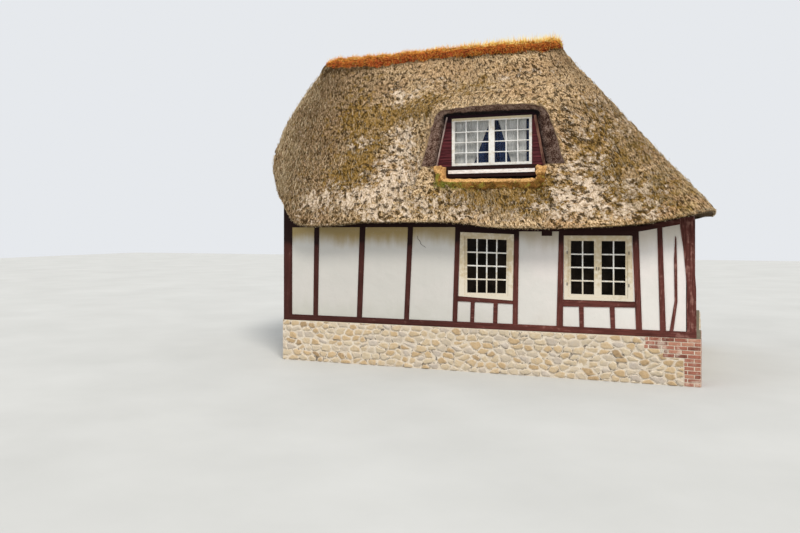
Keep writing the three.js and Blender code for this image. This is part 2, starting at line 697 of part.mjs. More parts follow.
const MOUTH = arch({
  footLeft: [-5370, 4130], headLeft: [-5080, 5290], headRight: [-2800, 5290], footRight: [-2440, 4110],
  ease: 330, crown: 45,
});
const FACE = arch({
  footLeft: [-5149, 4130], headLeft: [-4915, 5200], headRight: [-3050, 5180], footRight: [-2856, 4110],
  ease: 90, crown: 0,
});

const BEFORE_ROOF = -700; // a depth in front of all the thatch
const INSIDE_ROOF = 2000; // and one behind the dormer's thatch
const THROAT_MIDDLE_Z = 4600;

function throat() {
  const ring = (outline, y) => outline.map(([x, z]) => new THREE.Vector3(x, y, z)).reverse();
  const centre = (y) => FACE.map(() => new THREE.Vector3(HOOD.x, y, THROAT_MIDDLE_Z));
  return skin([
    centre(BEFORE_ROOF), ring(MOUTH, BEFORE_ROOF), ring(MOUTH, HOOD.front),
    ring(FACE, BOARDS.front), ring(FACE, INSIDE_ROOF), centre(INSIDE_ROOF),
  ]);
}

// The apron of cut straw that carries the window box, turned up at both ends.
const APRON_SEAT = [
  [-2965, 4080],
  [WINDOW_BOX.right + GAP, WINDOW_BOX.bottom - GAP],
  [WINDOW_BOX.left - GAP, WINDOW_BOX.bottom - GAP],
  [-4872, 4110],
];
const NOTCH_TOP = [[-5060, 4250], [-2800, 4250]]; // the cut for it runs up into the mouth
const APRON_OUTER = [
  [-5070, 4128], [-5095, 3900], [-5040, 3730], [-2830, 3680], [-2765, 3850], [-2790, 4085],
];
place("dormer_apron", panel([...APRON_OUTER, ...APRON_SEAT], APRON.front, APRON.back), "apron");

const apronNotch = panel(
  grown([NOTCH_TOP[0], ...APRON_OUTER, NOTCH_TOP[1]], GAP), BEFORE_ROOF, BOARDS.front,
);
const thatch = cut(thatchSkin(), throat(), apronNotch);
place("thatch_roof", thatch, "thatch");

// What stands under the thatch is trimmed to it, and stays clear of it by the gap.
const lowered = thatch.clone().translate(0, 0, -GAP);

function underThatch(geometry) {
  return cut(geometry, lowered);
}

// The gable walls: the left one rises under the half hip, the right one stops at its plate.
function gable(sign, face, top, timbers) {
  const deep = sign * INFILL_DEPTH;
  const inner = face - deep;
  const [left, right] = [Math.min(face, inner), Math.max(face, inner)];
  const infill = gablePanel(top, left, right);
  const proud = face + sign * TIMBER_PROUD;
  const timberInner = proud - sign * TIMBER_DEPTH;
  const [timberLeft, timberRight] = [Math.min(proud, timberInner), Math.max(proud, timberInner)];
  const frame = join(...timbers.map((outline) => gablePanel(outline, timberLeft, timberRight)));
  const slots = timbers.map((outline) => gablePanel(grown(outline, GAP), timberLeft - GAP, timberRight + GAP));
  return { frame, infill: cut(infill, ...slots) };
}

const frontEnd = CORNER_BACK + GAP;
const backEnd = backTimberFront - GAP;
const SIDE_POST_WIDTH = 110;
const SIDE_POSTS = [1350, 2595, 3840]; // y of each post's front edge
const LEFT_POST_TOP = 4400;
const leftRise = [[160, 3640], [250, 3700], [730, 4130], [1190, 4420], [1750, 4570], [MIDDLE_Y, 4620]];
const leftTop = [...leftRise, ...leftRise.slice(0, -1).reverse().map(([y, z]) => [BACK_FACE - y, z])];
const leftTimbers = [
  rectangle(TIMBER_DEPTH + GAP, backEnd, PLINTH_TOP, SILL_TOP),
  rectangle(frontEnd, backEnd, PLATE_BOTTOM, PLATE_TOP),
  ...SIDE_POSTS.map((y) => rectangle(y, y + SIDE_POST_WIDTH, SILL_TOP - TENON, LEFT_POST_TOP)),
];
const leftFoot = [[INFILL_DEPTH + GAP, SILL_TOP + GAP], [BACK_FACE - INFILL_DEPTH - GAP, SILL_TOP + GAP]];
const left = gable(-1, LEFT_FACE, [...leftFoot, ...leftTop.slice().reverse()], leftTimbers);
const cornerCutters = [
  panel(grown(frontOutlines.corner_post_left, GAP), FRONT_FACE - GAP, CORNER_BACK + GAP),
  panel(grown(frontOutlines.corner_post_right, GAP), FRONT_FACE - GAP, CORNER_BACK + GAP),
  ...backSlots,
  panel(grown(frontOutlines.front_wall_plate, GAP), FRONT_FACE - GAP, TIMBER_DEPTH + GAP),
];
place(
  "loft_floor",
  cut(
    box(
      LEFT_FACE + INFILL_DEPTH + GAP,
      RIGHT_FACE - INFILL_DEPTH - GAP,
      INFILL_DEPTH + GAP,
      BACK_FACE - INFILL_DEPTH - GAP,
      LOFT_FLOOR.bottom,
      LOFT_FLOOR.top,
    ),
    ...cornerCutters,
  ),
  "floor",
);
for (const name of UNDER_THATCH) place(name, underThatch(frontTimber(name)), "timber");
place("back_timber_frame", underThatch(backFrame), "timber");
place("left_timber_frame", underThatch(cut(left.frame, ...cornerCutters)), "timber");
place("left_wall", underThatch(cut(left.infill, ...cornerCutters)), "plaster");

const rightTimbers = [
  rectangle(TIMBER_DEPTH + GAP, backEnd, PLINTH_TOP, SILL_TOP),
  rectangle(frontEnd, backEnd, SIDE_PLATE_BOTTOM, SIDE_PLATE_TOP),
  ...SIDE_POSTS.map((y) => rectangle(y, y + SIDE_POST_WIDTH, SILL_TOP - TENON, SIDE_PLATE_BOTTOM + TENON)),
];
const right = gable(
  1,
  RIGHT_FACE,
  rectangle(INFILL_DEPTH + GAP, BACK_FACE - INFILL_DEPTH - GAP, SILL_TOP + GAP, SIDE_PLATE_BOTTOM - GAP),
  rightTimbers,
);
place("right_timber_frame", underThatch(cut(right.frame, ...cornerCutters)), "timber");
place("right_wall", cut(right.infill, ...cornerCutters), "plaster");

// The turf cap along the ridge, a low roll that lies on the blunt top of the thatch.
const capOutline = new THREE.Shape()
  .moveTo(MIDDLE_Y - CAP.half, RIDGE_Z + GAP)
  .lineTo(MIDDLE_Y + CAP.half, RIDGE_Z + GAP)
  .lineTo(MIDDLE_Y + CAP.half, RIDGE_Z + CAP.shoulder)
  .quadraticCurveTo(MIDDLE_Y + CAP.half, RIDGE_Z + CAP.top, MIDDLE_Y, RIDGE_Z + CAP.top)
  .quadraticCurveTo(MIDDLE_Y - CAP.half, RIDGE_Z + CAP.top, MIDDLE_Y - CAP.half, RIDGE_Z + CAP.shoulder)
  .getPoints(4)
  .map(({ x, y }) => [x, y]);
place("ridge_cap", gablePanel(capOutline, CAP.left, CAP.right), "turf");

// The dormer's face: boards round the window, the window, its box and its curtains.
const within = ({ left, right, bottom, top }) => rectangle(left, right, bottom, top);
const dormerOpening = grown(within(DORMER_WINDOW), GAP);
const dormerSash = within(DORMER_SASH);
place("dormer_boards", panel(grown(FACE, -GAP), BOARDS.front + GAP, BOARDS.back, [dormerOpening]), "timber");
place(
  "dormer_window_frame",
  panel(within(DORMER_WINDOW), DORMER_WINDOW.front, DORMER_WINDOW.back, [dormerSash]),
  "white",
);
const sashFront = DORMER_WINDOW.front + 8;
const MEETING = -3967; // where the two casements meet
const [sashLow, sashHigh] = [DORMER_SASH.bottom + GAP, DORMER_SASH.top - GAP];
casement(
  "dormer_casement_left",
  rectangle(DORMER_SASH.left + GAP, MEETING, sashLow, sashHigh),
  rectangle(-4748, -4024, 4205, 5064),
  sashFront,
  "white",
);
casement(
  "dormer_casement_right",
  rectangle(MEETING + GAP, DORMER_SASH.right - GAP, sashLow, sashHigh),
  rectangle(-3905, -3192, 4205, 5064),
  sashFront,
  "white",
);
glazed("dormer_glass", dormerSash, sashFront + SASH_DEPTH + GAP);

// The nets hang slanting, parted in the middle, and the drape hangs behind both.
const NETS = {
  net_curtain_left: [[-4790, 4165], [-4370, 4165], [-3990, 5120], [-4790, 5120]],
  net_curtain_right: [[-3560, 4165], [-3265, 4165], [-3265, 5120], [-3860, 5120]],
};
const DRAPE = { left: -4790, right: -3150, bottom: 4160, top: 5125 };
const netFront = DORMER_WINDOW.back + GAP;
const drapeFront = netFront + NET_DEPTH + GAP;
for (const [name, outline] of Object.entries(NETS)) {
  place(name, panel(outline, netFront, netFront + NET_DEPTH), "net");
}
place("blue_drape", panel(within(DRAPE), drapeFront, drapeFront + NET_DEPTH), "drape");

const trough = WINDOW_BOX;
place(
  "window_box",
  cut(
    box(trough.left, trough.right, trough.front, trough.back, trough.bottom, trough.top),
    box(
      trough.left + trough.board,
      trough.right - trough.board,
      trough.front + trough.board,
      trough.back - trough.board,
      trough.bottom + trough.board,
      trough.top + 10,
    ),
  ),
  "timber",
);

// The origin is the middle of the base.
const extent = new THREE.Box3().setFromObject(house);
house.position.set(-(extent.min.x + extent.max.x) / 2, -(extent.min.y + extent.max.y) / 2, 0);

export default house;
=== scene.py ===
# %% [markdown]
# # A thatched cottage, dressed for its portrait
#
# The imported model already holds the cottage's construction: plinth, posts, plaster, windows and
# a thick coat of thatch, every piece at its real size and in its real place. This lesson gives
# each surface its finish and adds what is too fine for construction drawings: reed, moss, bricks,
# rubble, glazing bars, boards and curtains.
#
# The lesson has three habits. A new shape is a function of two parameters, worked out as whole
# numpy arrays. A finish is written as ordinary maths on shader sockets. Every cell prints what it
# made, so that a slip shows where it happens.

# %% Load the frame
import math

import bmesh
import bpy
import numpy as np
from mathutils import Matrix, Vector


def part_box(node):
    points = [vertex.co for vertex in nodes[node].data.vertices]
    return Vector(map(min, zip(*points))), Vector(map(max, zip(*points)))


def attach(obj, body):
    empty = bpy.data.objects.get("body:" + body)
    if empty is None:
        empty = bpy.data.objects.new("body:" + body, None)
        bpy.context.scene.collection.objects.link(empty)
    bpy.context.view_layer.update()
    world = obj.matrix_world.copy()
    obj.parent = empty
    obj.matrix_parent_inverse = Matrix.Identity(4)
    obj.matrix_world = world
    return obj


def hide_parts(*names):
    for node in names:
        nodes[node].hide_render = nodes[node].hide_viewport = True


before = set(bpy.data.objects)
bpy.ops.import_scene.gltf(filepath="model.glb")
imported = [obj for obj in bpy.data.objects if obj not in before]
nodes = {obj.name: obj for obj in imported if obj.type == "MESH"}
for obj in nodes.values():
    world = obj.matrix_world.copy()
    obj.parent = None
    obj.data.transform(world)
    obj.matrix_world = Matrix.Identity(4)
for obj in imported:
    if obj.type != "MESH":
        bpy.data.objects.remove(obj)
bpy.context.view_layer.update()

# %% [markdown]
# The cottage was measured from its right front corner: x runs along the front wall with 0 at that
# corner, y runs from the plaster's face to the back, z is the height above the ground. The frame
# is centred over its base instead, so two of its own boxes tell how far the origin moved. Every
# measured place below goes through `spot`, and stays readable as a tape measure would give it.

# %% Measured places
PLINTH_RIGHT = 0.013  # the plinth's right face stands this far right of the corner
RIGHT_CORNER_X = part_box("brick_corner")[1].x - PLINTH_RIGHT
FRONT_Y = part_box("front_wall")[0].y
BACK_WALL = 5.3  # from the front face to the back face
MIDDLE = BACK_WALL / 2
ORIGIN = np.array([RIGHT_CORNER_X, FRONT_Y, 0.0])


def spot(x, y, z):
    """A place given from the right front corner, as an array in the frame."""
    return np.array([x, y, z], float) + ORIGIN


print("right front corner at", ORIGIN.round(4))

# %% [markdown]
# ## Shader maths as ordinary maths
#
# Node trees are long when every addition is written as a node, a setting and two links. A small
# class wraps a socket and overloads the operators, so `0.3 + 0.5 * noise` adds the Math nodes by
# itself. Any other node comes from one method that takes its type, its settings and its inputs.

# %% Socket wrapper
class Sock:
    """One output socket of a node tree. Arithmetic on it adds Math nodes."""

    def __init__(self, tree, socket):
        self.tree, self.socket = tree, socket

    def node(self, kind, settings=None, out=0, **inputs):
        """A node of any type. Input names use _ for a space, and i0, i1 ... are inputs by number."""
        made = self.tree.nodes.new(kind)
        for name, value in (settings or {}).items():
            if name == "stops":
                while len(made.color_ramp.elements) < len(value):
                    made.color_ramp.elements.new(0.5)
                for element, (place, colour) in zip(made.color_ramp.elements, value):
                    element.position = place
                    element.color = (*colour, 1)
            else:
                setattr(made, name, value)
        for name, value in inputs.items():
            target = made.inputs[int(name[1:])] if name[1:].isdigit() else made.inputs[name.replace("_", " ")]
            if isinstance(value, Sock):
                self.tree.links.new(value.socket, target)
            else:
                target.default_value = value
        return Sock(self.tree, made.outputs[out])

    def math(self, operation, *values, clamp=False):
        inputs = {f"i{k}": value for k, value in enumerate((self, *values))}
        return self.node("ShaderNodeMath", {"operation": operation, "use_clamp": clamp}, **inputs)

    def __add__(self, other):
        return self.math("ADD", other)

    def __mul__(self, other):
        return self.math("MULTIPLY", other)

    def __sub__(self, other):
        return self.math("SUBTRACT", other)

    def __rsub__(self, other):
        return self.math("MULTIPLY", -1.0) + other

    __radd__, __rmul__ = __add__, __mul__

    def clamp(self):
        return self.math("ADD", 0.0, clamp=True)

    def step(self, low, high):
        """0 below low, 1 above high and smooth between them, or falling where high is the lower."""
        first, last = min(low, high), max(low, high)
        settings = {"interpolation_type": "SMOOTHSTEP"}
        rising = self.node("ShaderNodeMapRange", settings, Value=self, From_Min=first, From_Max=last)
        return rising if low < high else 1 - rising

    def attribute(self, name, out=2):
        """A value per point of the mesh, by its name. Output 1 is a vector and 2 a number."""
        return self.node("ShaderNodeAttribute", {"attribute_name": name}, out=out)

    def part(self, axis):
        """One coordinate of a vector, by its letter."""
        return self.node("ShaderNodeSeparateXYZ", out="xyz".index(axis), i0=self)

    def scaled(self, x, y, z):
        return self.node("ShaderNodeMapping", i0=self, Scale=(x, y, z))

    def noise(self, scale, detail=4.0, roughness=0.55, distortion=0.0):
        return self.node("ShaderNodeTexNoise", Vector=self, Scale=scale, Detail=detail,
                         Roughness=roughness, Distortion=distortion)


print("socket wrapper ready")

# %% Colours and finishes
def rgba(colour):
    """A colour triple with its fourth number, or a socket as it is."""
    return colour if isinstance(colour, Sock) else (*colour, 1)


def blend(share, first, second):
    """Two colours, each a triple or a socket, mixed by the mask share."""
    both = {"i6": rgba(first), "i7": rgba(second)}
    return share.node("ShaderNodeMix", {"data_type": "RGBA"}, out=2, i0=share, **both)


def ramp(value, *stops):
    """A number turned into colours, each stop a place from 0 to 1 and a colour."""
    return value.node("ShaderNodeValToRGB", {"stops": stops}, Fac=value)


def finish(name, paint, roughness=0.85, shine=0.08, **sockets):
    """A material. paint(place) gives a colour, or a colour, a height, its depth in metres and
    a roughness. Matt surfaces keep only a little shine."""
    material = bpy.data.materials.new(name)
    material.use_nodes = True
    tree = material.node_tree
    shader = tree.nodes["Principled BSDF"]
    shader.inputs["Roughness"].default_value = roughness
    shader.inputs["Specular IOR Level"].default_value = shine
    for socket, value in sockets.items():
        shader.inputs[socket.replace("_", " ")].default_value = value
    place = Sock(tree, tree.nodes.new("ShaderNodeTexCoord").outputs["Object"])
    made = paint(place)
    colour, height, depth, gloss = (*(made if isinstance(made, tuple) else (made,)), None, None, None)[:4]
    tree.links.new(colour.socket, shader.inputs["Base Color"])
    if height is not None:
        bump = height.node("ShaderNodeBump", Height=height, Distance=depth, Strength=1.0)
        tree.links.new(bump.socket, shader.inputs["Normal"])
    if gloss is not None:
        tree.links.new(gloss.socket, shader.inputs["Roughness"])
    return material


print("finishes ready")

# %% [markdown]
# ## Meshes from arrays
#
# A grid of points becomes a mesh when each cell is joined to its neighbours. One helper numbers
# the cells of any grid, closed or open in either direction, and another puts arrays of points
# and faces into Blender with `foreach_set`, which is hundreds of times faster than a loop.
# Noise for the shapes is worked out the same way: random values on a lattice, blended smoothly.

# %% Mesh helpers
def join(*coordinates):
    """Arrays or single numbers, one for each coordinate, joined into one array of points."""
    return np.stack(np.broadcast_arrays(*coordinates), -1)


def grid_faces(rows, columns, wrap_rows=False, wrap_columns=False):
    """Corner numbers of the cells of a rows x columns grid whose points are numbered row by row."""
    r = np.arange(rows if wrap_rows else rows - 1)[:, None]
    c = np.arange(columns if wrap_columns else columns - 1)[None]
    above, beside = (r + 1) % rows, (c + 1) % columns
    corners = ((r, c), (r, beside), (above, beside), (above, c))
    return join(*(row * columns + column for row, column in corners)).reshape(-1, 4)


def piece(name, points, faces, material, smooth=True, **attributes):
    """A mesh object from arrays. The attributes, numbers or vectors, are given per point."""
    mesh = bpy.data.meshes.new(name)
    points, faces = np.asarray(points, np.float32).reshape(-1, 3), np.asarray(faces, np.int32)
    sides = faces.shape[1]
    mesh.vertices.add(len(points))
    mesh.vertices.foreach_set("co", points.ravel())
    mesh.loops.add(faces.size)
    mesh.loops.foreach_set("vertex_index", faces.ravel())
    mesh.polygons.add(len(faces))
    mesh.polygons.foreach_set("loop_start", np.arange(0, faces.size, sides, dtype=np.int32))
    mesh.polygons.foreach_set("use_smooth", np.full(len(faces), smooth))
    mesh.update(calc_edges=True)
    for key, values in attributes.items():
        values = np.asarray(values, np.float32)
        vector = values.size == 3 * len(points)
        layer = mesh.attributes.new(key, "FLOAT_VECTOR" if vector else "FLOAT", "POINT")
        layer.data.foreach_set("vector" if vector else "value", values.ravel())
    mesh.validate()
    mesh.materials.append(material)
    made = bpy.data.objects.new(name, mesh)
    bpy.context.scene.collection.objects.link(made)
    return made


def settle(made, slot, *replaced):
    """The piece rides on the house and stands for the nodes it replaces. Its slot is not used."""
    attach(made, "root")
    if replaced:
        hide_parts(*replaced)
    made.data.calc_loop_triangles()
    print(made.name, len(made.data.loop_triangles), "triangles")


print("mesh helpers ready")

# %% Noise for shapes
NOISE_VALUES = 4096  # size of a noise's table of random values
NOISE_KEYS = (73856093, 19349663, 83492791)  # large primes that scatter the cells over it


def lattice_noise(points, size, seed):
    """Smooth noise from -1 to 1. Each point blends the random values at the eight corners of its
    lattice cell, whose sides are size long, with weights w*w*(3 - 2*w) along each axis."""
    table = np.random.default_rng(seed).uniform(-1, 1, NOISE_VALUES)
    scaled = np.asarray(points, float) / size
    cell = np.floor(scaled).astype(np.int64)
    w = scaled - cell
    w = w * w * (3 - 2 * w)
    total = 0.0
    for corner in np.ndindex(2, 2, 2):
        key = ((cell + corner) * NOISE_KEYS).sum(-1) % NOISE_VALUES
        total = total + table[key] * np.prod(np.where(corner, w, 1 - w), -1)
    return total


def rough(points, size, seed, octaves=3):
    """Noise upon noise: each octave has half the size and half the height of the one before."""
    return sum(lattice_noise(points, size / 2 ** k, seed + k) / 2 ** k for k in range(octaves))


def smoothstep(value, low, high):
    """0 below low, 1 above high and smooth between them, or falling where high is the lower."""
    w = np.clip((value - low) / (high - low), 0, 1)
    return w * w * (3 - 2 * w)


print("noise from", rough(np.zeros((1, 3)), 1.0, 1).round(3), "on")

# %% [markdown]
# ## Camera, floor and light
#
# The camera stands where the photograph was taken from: 15 m in front of the right corner, at
# 2.84 m, turned 21 degrees to the left and held level. The horizon is a little above the middle
# of the picture, which is a shift of the lens and no tilt, so the posts stay upright. A pale
# floor and a cloudy-day light are all that surrounds the cottage.

# %% Camera
FRAME_WIDTH = 800
FRAME_HEIGHT = 533
FOCAL_PIXELS = 778
HORIZON_ROW = 229.4
SENSOR_WIDTH = 36
CAMERA_AWAY = 15.0
CAMERA_HEIGHT = 2.84
CAMERA_TURN = 21.1
camera = bpy.data.objects.new("camera", bpy.data.cameras.new("camera"))
bpy.context.scene.collection.objects.link(camera)
camera.data.sensor_width = SENSOR_WIDTH
camera.data.lens = SENSOR_WIDTH * FOCAL_PIXELS / FRAME_WIDTH
camera.data.shift_y = (HORIZON_ROW - FRAME_HEIGHT / 2) / FRAME_WIDTH
camera.location = spot(0, -CAMERA_AWAY, CAMERA_HEIGHT)
camera.rotation_euler = (math.pi / 2, 0, math.radians(CAMERA_TURN))
bpy.context.scene.camera = camera
print("camera at", [round(v, 2) for v in camera.location], "lens", round(camera.data.lens, 2))

# %% Floor and light
FLOOR_REACH = 60.0
FLOOR_GREY = (0.50, 0.50, 0.48)
FLOOR_PALE = (0.55, 0.55, 0.53)
SKY = (0.90, 0.925, 0.96)
SKY_STRENGTH = 0.88


def paint_floor(place):
    """Pale grey in wide soft clouds."""
    return ramp(place.noise(0.4), (0.3, FLOOR_GREY), (0.7, FLOOR_PALE))


floor = piece("floor", np.array([(-1, -1, 0), (1, -1, 0), (1, 1, 0), (-1, 1, 0)]) * FLOOR_REACH,
              [(0, 1, 2, 3)], finish("studio_floor", paint_floor, roughness=0.9))

world = bpy.data.worlds.new("cloudy_sky")
bpy.context.scene.world = world
world.use_nodes = True
background = world.node_tree.nodes["Background"]
background.inputs["Color"].default_value = rgba(SKY)
background.inputs["Strength"].default_value = SKY_STRENGTH


def lamp(name, kind, energy, turn, tilt, **settings):
    """A light that shines from a compass turn (0 is from the front, 90 from the right) and a height."""
    light = bpy.data.lights.new(name, kind)
    light.energy = energy
    for key, value in settings.items():
        setattr(light, key, value)
    made = bpy.data.objects.new(name, light)
    made.rotation_euler = (math.radians(90 - tilt), 0, math.radians(turn))
    bpy.context.scene.collection.objects.link(made)
    return made


lamp("high_cloud_sun", "SUN", 2.3, turn=38, tilt=50, angle=math.radians(14), color=(1.0, 0.96, 0.90))
lamp("side_fill", "SUN", 0.4, turn=-50, tilt=30, angle=math.radians(60), color=(0.92, 0.96, 1.0))
bpy.context.scene.view_settings.view_transform = "Standard"
print("floor, sky and two soft suns")

# %% [markdown]
# ## The thatch
#
# A thatcher lays reed in overlapping bundles from the eave up to the ridge. The coat is nearly
# half a metre thick, so it has no sharp arris except its trimmed lower edge: it swells between
# eave and ridge, bends softly round the hips and flows over the dormer like a blanket.
#
# Such a coat could be sculpted, but a formula keeps it exact and readable. A point of the coat is
# found from two numbers. The first walks along the eave, a smooth line through listed
# points. The second, the share, climbs from the eave to the ridge.

# %% The line of the eave
RIDGE_Z = 6.97
RIDGE_HALF = 0.2  # half the width of the blunt ridge
SWELL_LEAN = 0.7  # below 1 the coat is fullest under the middle of its slope
EAVE_ROLL = 0.07  # how far the lower edge is rounded off

# From the middle of the left end round the front to the middle of the right end: x, y and z of
# the lower edge, the x on the ridge that its straw runs up to, how far the coat swells outwards,
# and the width of the flat underside. The back mirrors it.
EAVE = np.array([
    (-9.37, 2.65, 4.56, -8.56, 0.30, 0.90),
    (-9.34, 1.70, 4.51, -8.56, 0.30, 0.86),
    (-9.23, 1.00, 4.35, -8.56, 0.30, 0.78),
    (-8.99, 0.40, 4.06, -8.56, 0.28, 0.66),
    (-8.68, 0.00, 3.62, -8.56, 0.24, 0.56),
    (-8.45, -0.20, 3.39, -8.54, 0.18, 0.52),
    (-8.035, -0.42, 2.95, -8.46, 0.12, 0.56),
    (-7.30, -0.51, 2.90, -8.20, 0.06, 0.62),
    (-6.50, -0.53, 2.965, -7.60, 0.03, 0.62),
    (-5.50, -0.53, 2.973, -6.70, 0.01, 0.62),
    (-4.55, -0.53, 2.965, -5.84, 0.00, 0.62),
    (-3.80, -0.53, 2.878, -5.28, 0.00, 0.62),
    (-3.25, -0.53, 2.85, -4.87, 0.00, 0.62),
    (-2.45, -0.53, 2.847, -4.30, 0.00, 0.62),
    (-1.12, -0.53, 2.915, -3.62, 0.00, 0.62),
    (-0.33, -0.52, 3.045, -3.29, -0.03, 0.62),
    (0.15, -0.44, 3.15, -3.19, -0.05, 0.62),
    (0.29, 0.06, 3.155, -3.19, -0.05, 0.62),
    (0.32, 1.30, 3.13, -3.19, -0.05, 0.62),
    (0.32, 2.65, 3.14, -3.19, -0.05, 0.62),
])


def unit(vectors):
    """The same directions, with the length 1."""
    return vectors / np.maximum(np.linalg.norm(vectors, axis=-1, keepdims=True), 1e-9)


def through(points, count):
    """A smooth line through given points, as count samples. Between two points it is the
    cubic that passes each of them in the direction from the point before to the point after."""
    p = np.asarray(points, float)
    p = np.vstack([2 * p[0] - p[1], p, 2 * p[-1] - p[-2]])
    t = np.linspace(0, len(p) - 3, count)
    i = np.minimum(t.astype(int), len(p) - 4)
    w = (t - i)[:, None]
    start, end = p[i + 1], p[i + 2]
    leave, arrive = (p[i + 2] - p[i]) / 2, (p[i + 3] - p[i + 1]) / 2
    return (start + leave * w + (3 * (end - start) - 2 * leave - arrive) * w ** 2
            + (2 * (start - end) + leave + arrive) * w ** 3)


def eave_line(columns):
    """Per column: the foot on the eave, the head on the ridge, the outward and inward directions
    in plan, the swell and the underside's width."""
    line = through(EAVE, columns)
    foot = line[:, :3]
    ridge_x = np.clip(line[:, 3], EAVE[0, 3], EAVE[-1, 3])
    head = join(ridge_x, MIDDLE, RIDGE_Z)
    out = unit((foot - head) * (1, 1, 0))
    coarse, fine = np.linspace(0, 1, 3 * len(EAVE)), np.linspace(0, 1, columns)
    ahead = np.gradient(through(EAVE, len(coarse))[:, :2], axis=0)
    ahead = join(*(np.interp(fine, coarse, way) for way in ahead.T))
    inward = np.concatenate([unit(ahead)[:, ::-1] * (-1, 1), np.zeros((columns, 1))], 1)
    return foot, head, out, inward, line[:, 4:5], line[:, 5:6]


eave_length = np.linalg.norm(np.diff(through(EAVE, 400)[:, :3], axis=0), axis=1).sum()
print("half the eave is", round(eave_length, 2), "m long")

# %% [markdown]
# The eyebrow over the dormer is a second surface: an upright face in front of the window that
# falls back over and beside it. A smooth minimum joins the two. Where they are far apart it is
# simply the nearer one, and close to their crossing it rounds the corner off, as reed does.

# %% The coat with its eyebrow
HOOD_X = -3.93  # the middle of the dormer
HOOD_FRONT = 0.15  # the y of its mouth
HOOD_TOP = 5.33
HOOD_TOP_SLOPE = 0.45
HOOD_FLANK = 0.9
HOOD_HALF = 1.465  # half its width at the foot, which narrows upwards
HOOD_FOOT = 4.13
HOOD_TAPER = 0.28
HOOD_BLEND = 0.38
HOOD_TURN = (0.3, 0.72)  # how squarely the coat must face the front to be swept


def hood_face(x, z):
    """The eyebrow's y: on the plane of its mouth inside the arch, and outside it further back by
    the distance above divided by a slope and the distance beside times another."""
    half = HOOD_HALF - (z - HOOD_FOOT) * HOOD_TAPER
    above = np.maximum(0, z - HOOD_TOP) / HOOD_TOP_SLOPE
    beside = np.maximum(0, abs(x - HOOD_X) - half) * HOOD_FLANK
    return HOOD_FRONT + np.hypot(above, beside)


def coat(line, share, front=True):
    """Points of the coat: a straight climb from foot to head, pushed outwards by the swell times
    the sine of pi times the share raised to the lean, and swept forward to the eyebrow."""
    foot, head, out, _, swell, _ = line
    share = np.asarray(share, float)[:, None, None]
    bulge = swell * np.sin(np.pi * share ** SWELL_LEAN)
    point = foot + (head + out * RIDGE_HALF - foot) * share + out * bulge
    if front:
        x, y, z = np.moveaxis(point, -1, 0)
        face = hood_face(x, z)
        near = np.maximum(HOOD_BLEND - abs(y - face), 0) / HOOD_BLEND
        swept = np.minimum(y, face) - near ** 2 * HOOD_BLEND / 4
        fade = smoothstep(share[..., 0], 0.02, 0.2) * smoothstep(-out[:, 1], *HOOD_TURN)
        point[..., 1] = y + (swept - y) * fade
    return point


print("coat over the dormer's middle:", coat(eave_line(400), [0.5])[0, 200].round(3))

# %% [markdown]
# Weathered reed isn't smooth. Bundles make soft lumps, rain cuts short furrows down the slope,
# and birds and rot leave small pits. Three noises add these to the coat along its normals. The
# furrows need a lattice that is stretched down the slope and closes round the house, so the
# eave's length is wrapped round a circle: two coordinates of the lattice are the circle's, and
# the third is the height climbed.

# %% Relief of the reed
LUMPS = 0.022
FURROWS = 0.016
PITS = 0.035
FURROW_CELL = (0.055, 0.055, 0.26)
PIT_CELL = (0.10, 0.10, 0.16)


def straw_place(line, share, front=True):
    """Where a point lies in the straw: the circle's two coordinates and the metres climbed."""
    foot, head = line[0], line[1]
    along = np.linspace(0, np.pi, len(foot)) * (1 if front else -1)
    climbed = np.asarray(share, float)[:, None] * np.linalg.norm(head - foot, axis=1)
    radius = eave_length / np.pi
    circle = join(np.cos(along), np.sin(along)) * radius
    return np.concatenate([np.broadcast_to(circle, (*climbed.shape, 2)), climbed[..., None]], -1)


def reed_relief(straw, points):
    """Metres out of the coat: lumps of half a metre, furrows five times as long as wide, pits."""
    lumps = rough(points, 0.5, 11)
    furrows = rough(straw / FURROW_CELL, 1.0, 23, octaves=2)
    pits = smoothstep(lattice_noise(straw / PIT_CELL, 1.0, 37), 0.42, 0.8)
    return LUMPS * lumps + FURROWS * furrows - PITS * pits


def normals_of(points):
    """Normals of a grid, from the cross product of its two directions."""
    return unit(np.cross(np.gradient(points, axis=1), np.gradient(points, axis=0)))


print("relief: lumps", LUMPS, "m, furrows", FURROWS, "m, pits", PITS, "m")

# %% [markdown]
# Each half of the coat, front and back, is one closed body: ridge line, outer face, rounded lower
# edge, flat underside, inner slope and back up to the ridge. The rows of the grid go once round
# this section, and the two open ends, in the plane of the ridge, are filled.

# %% Two halves of the coat
INNER_RIDGE_X = (-8.2, -3.15)
INNER_RIDGE_Z = 6.2
LIP_ROWS = 5
INNER_SHARES = (0.35, 0.7, 1.0)
BACK_GROWTH = 0.6  # the unseen back has less moss and lichen, in the same places
STRAW_STEP = 0.045  # how far the straws run on from row to row under the coat
WELD = 2e-4  # points nearer than this are one
NO_LENGTH = 1e-5


def closed(made, fill=False):
    """Welds a piece's seams and poles, fills its open ends and turns its faces outwards."""
    shape = bmesh.new()
    shape.from_mesh(made.data)
    bmesh.ops.remove_doubles(shape, verts=shape.verts, dist=WELD)
    bmesh.ops.dissolve_degenerate(shape, edges=shape.edges, dist=NO_LENGTH)
    if fill:
        open_edges = [edge for edge in shape.edges if edge.is_boundary]
        caps = bmesh.ops.holes_fill(shape, edges=open_edges, sides=0)["faces"]
        bmesh.ops.triangulate(shape, faces=caps)
    bmesh.ops.recalc_face_normals(shape, faces=shape.faces)
    loose = sum(1 for edge in shape.edges if not edge.is_manifold)
    shape.to_mesh(made.data)
    shape.free()
    print(made.name, "open or doubled edges:", loose)
    return made


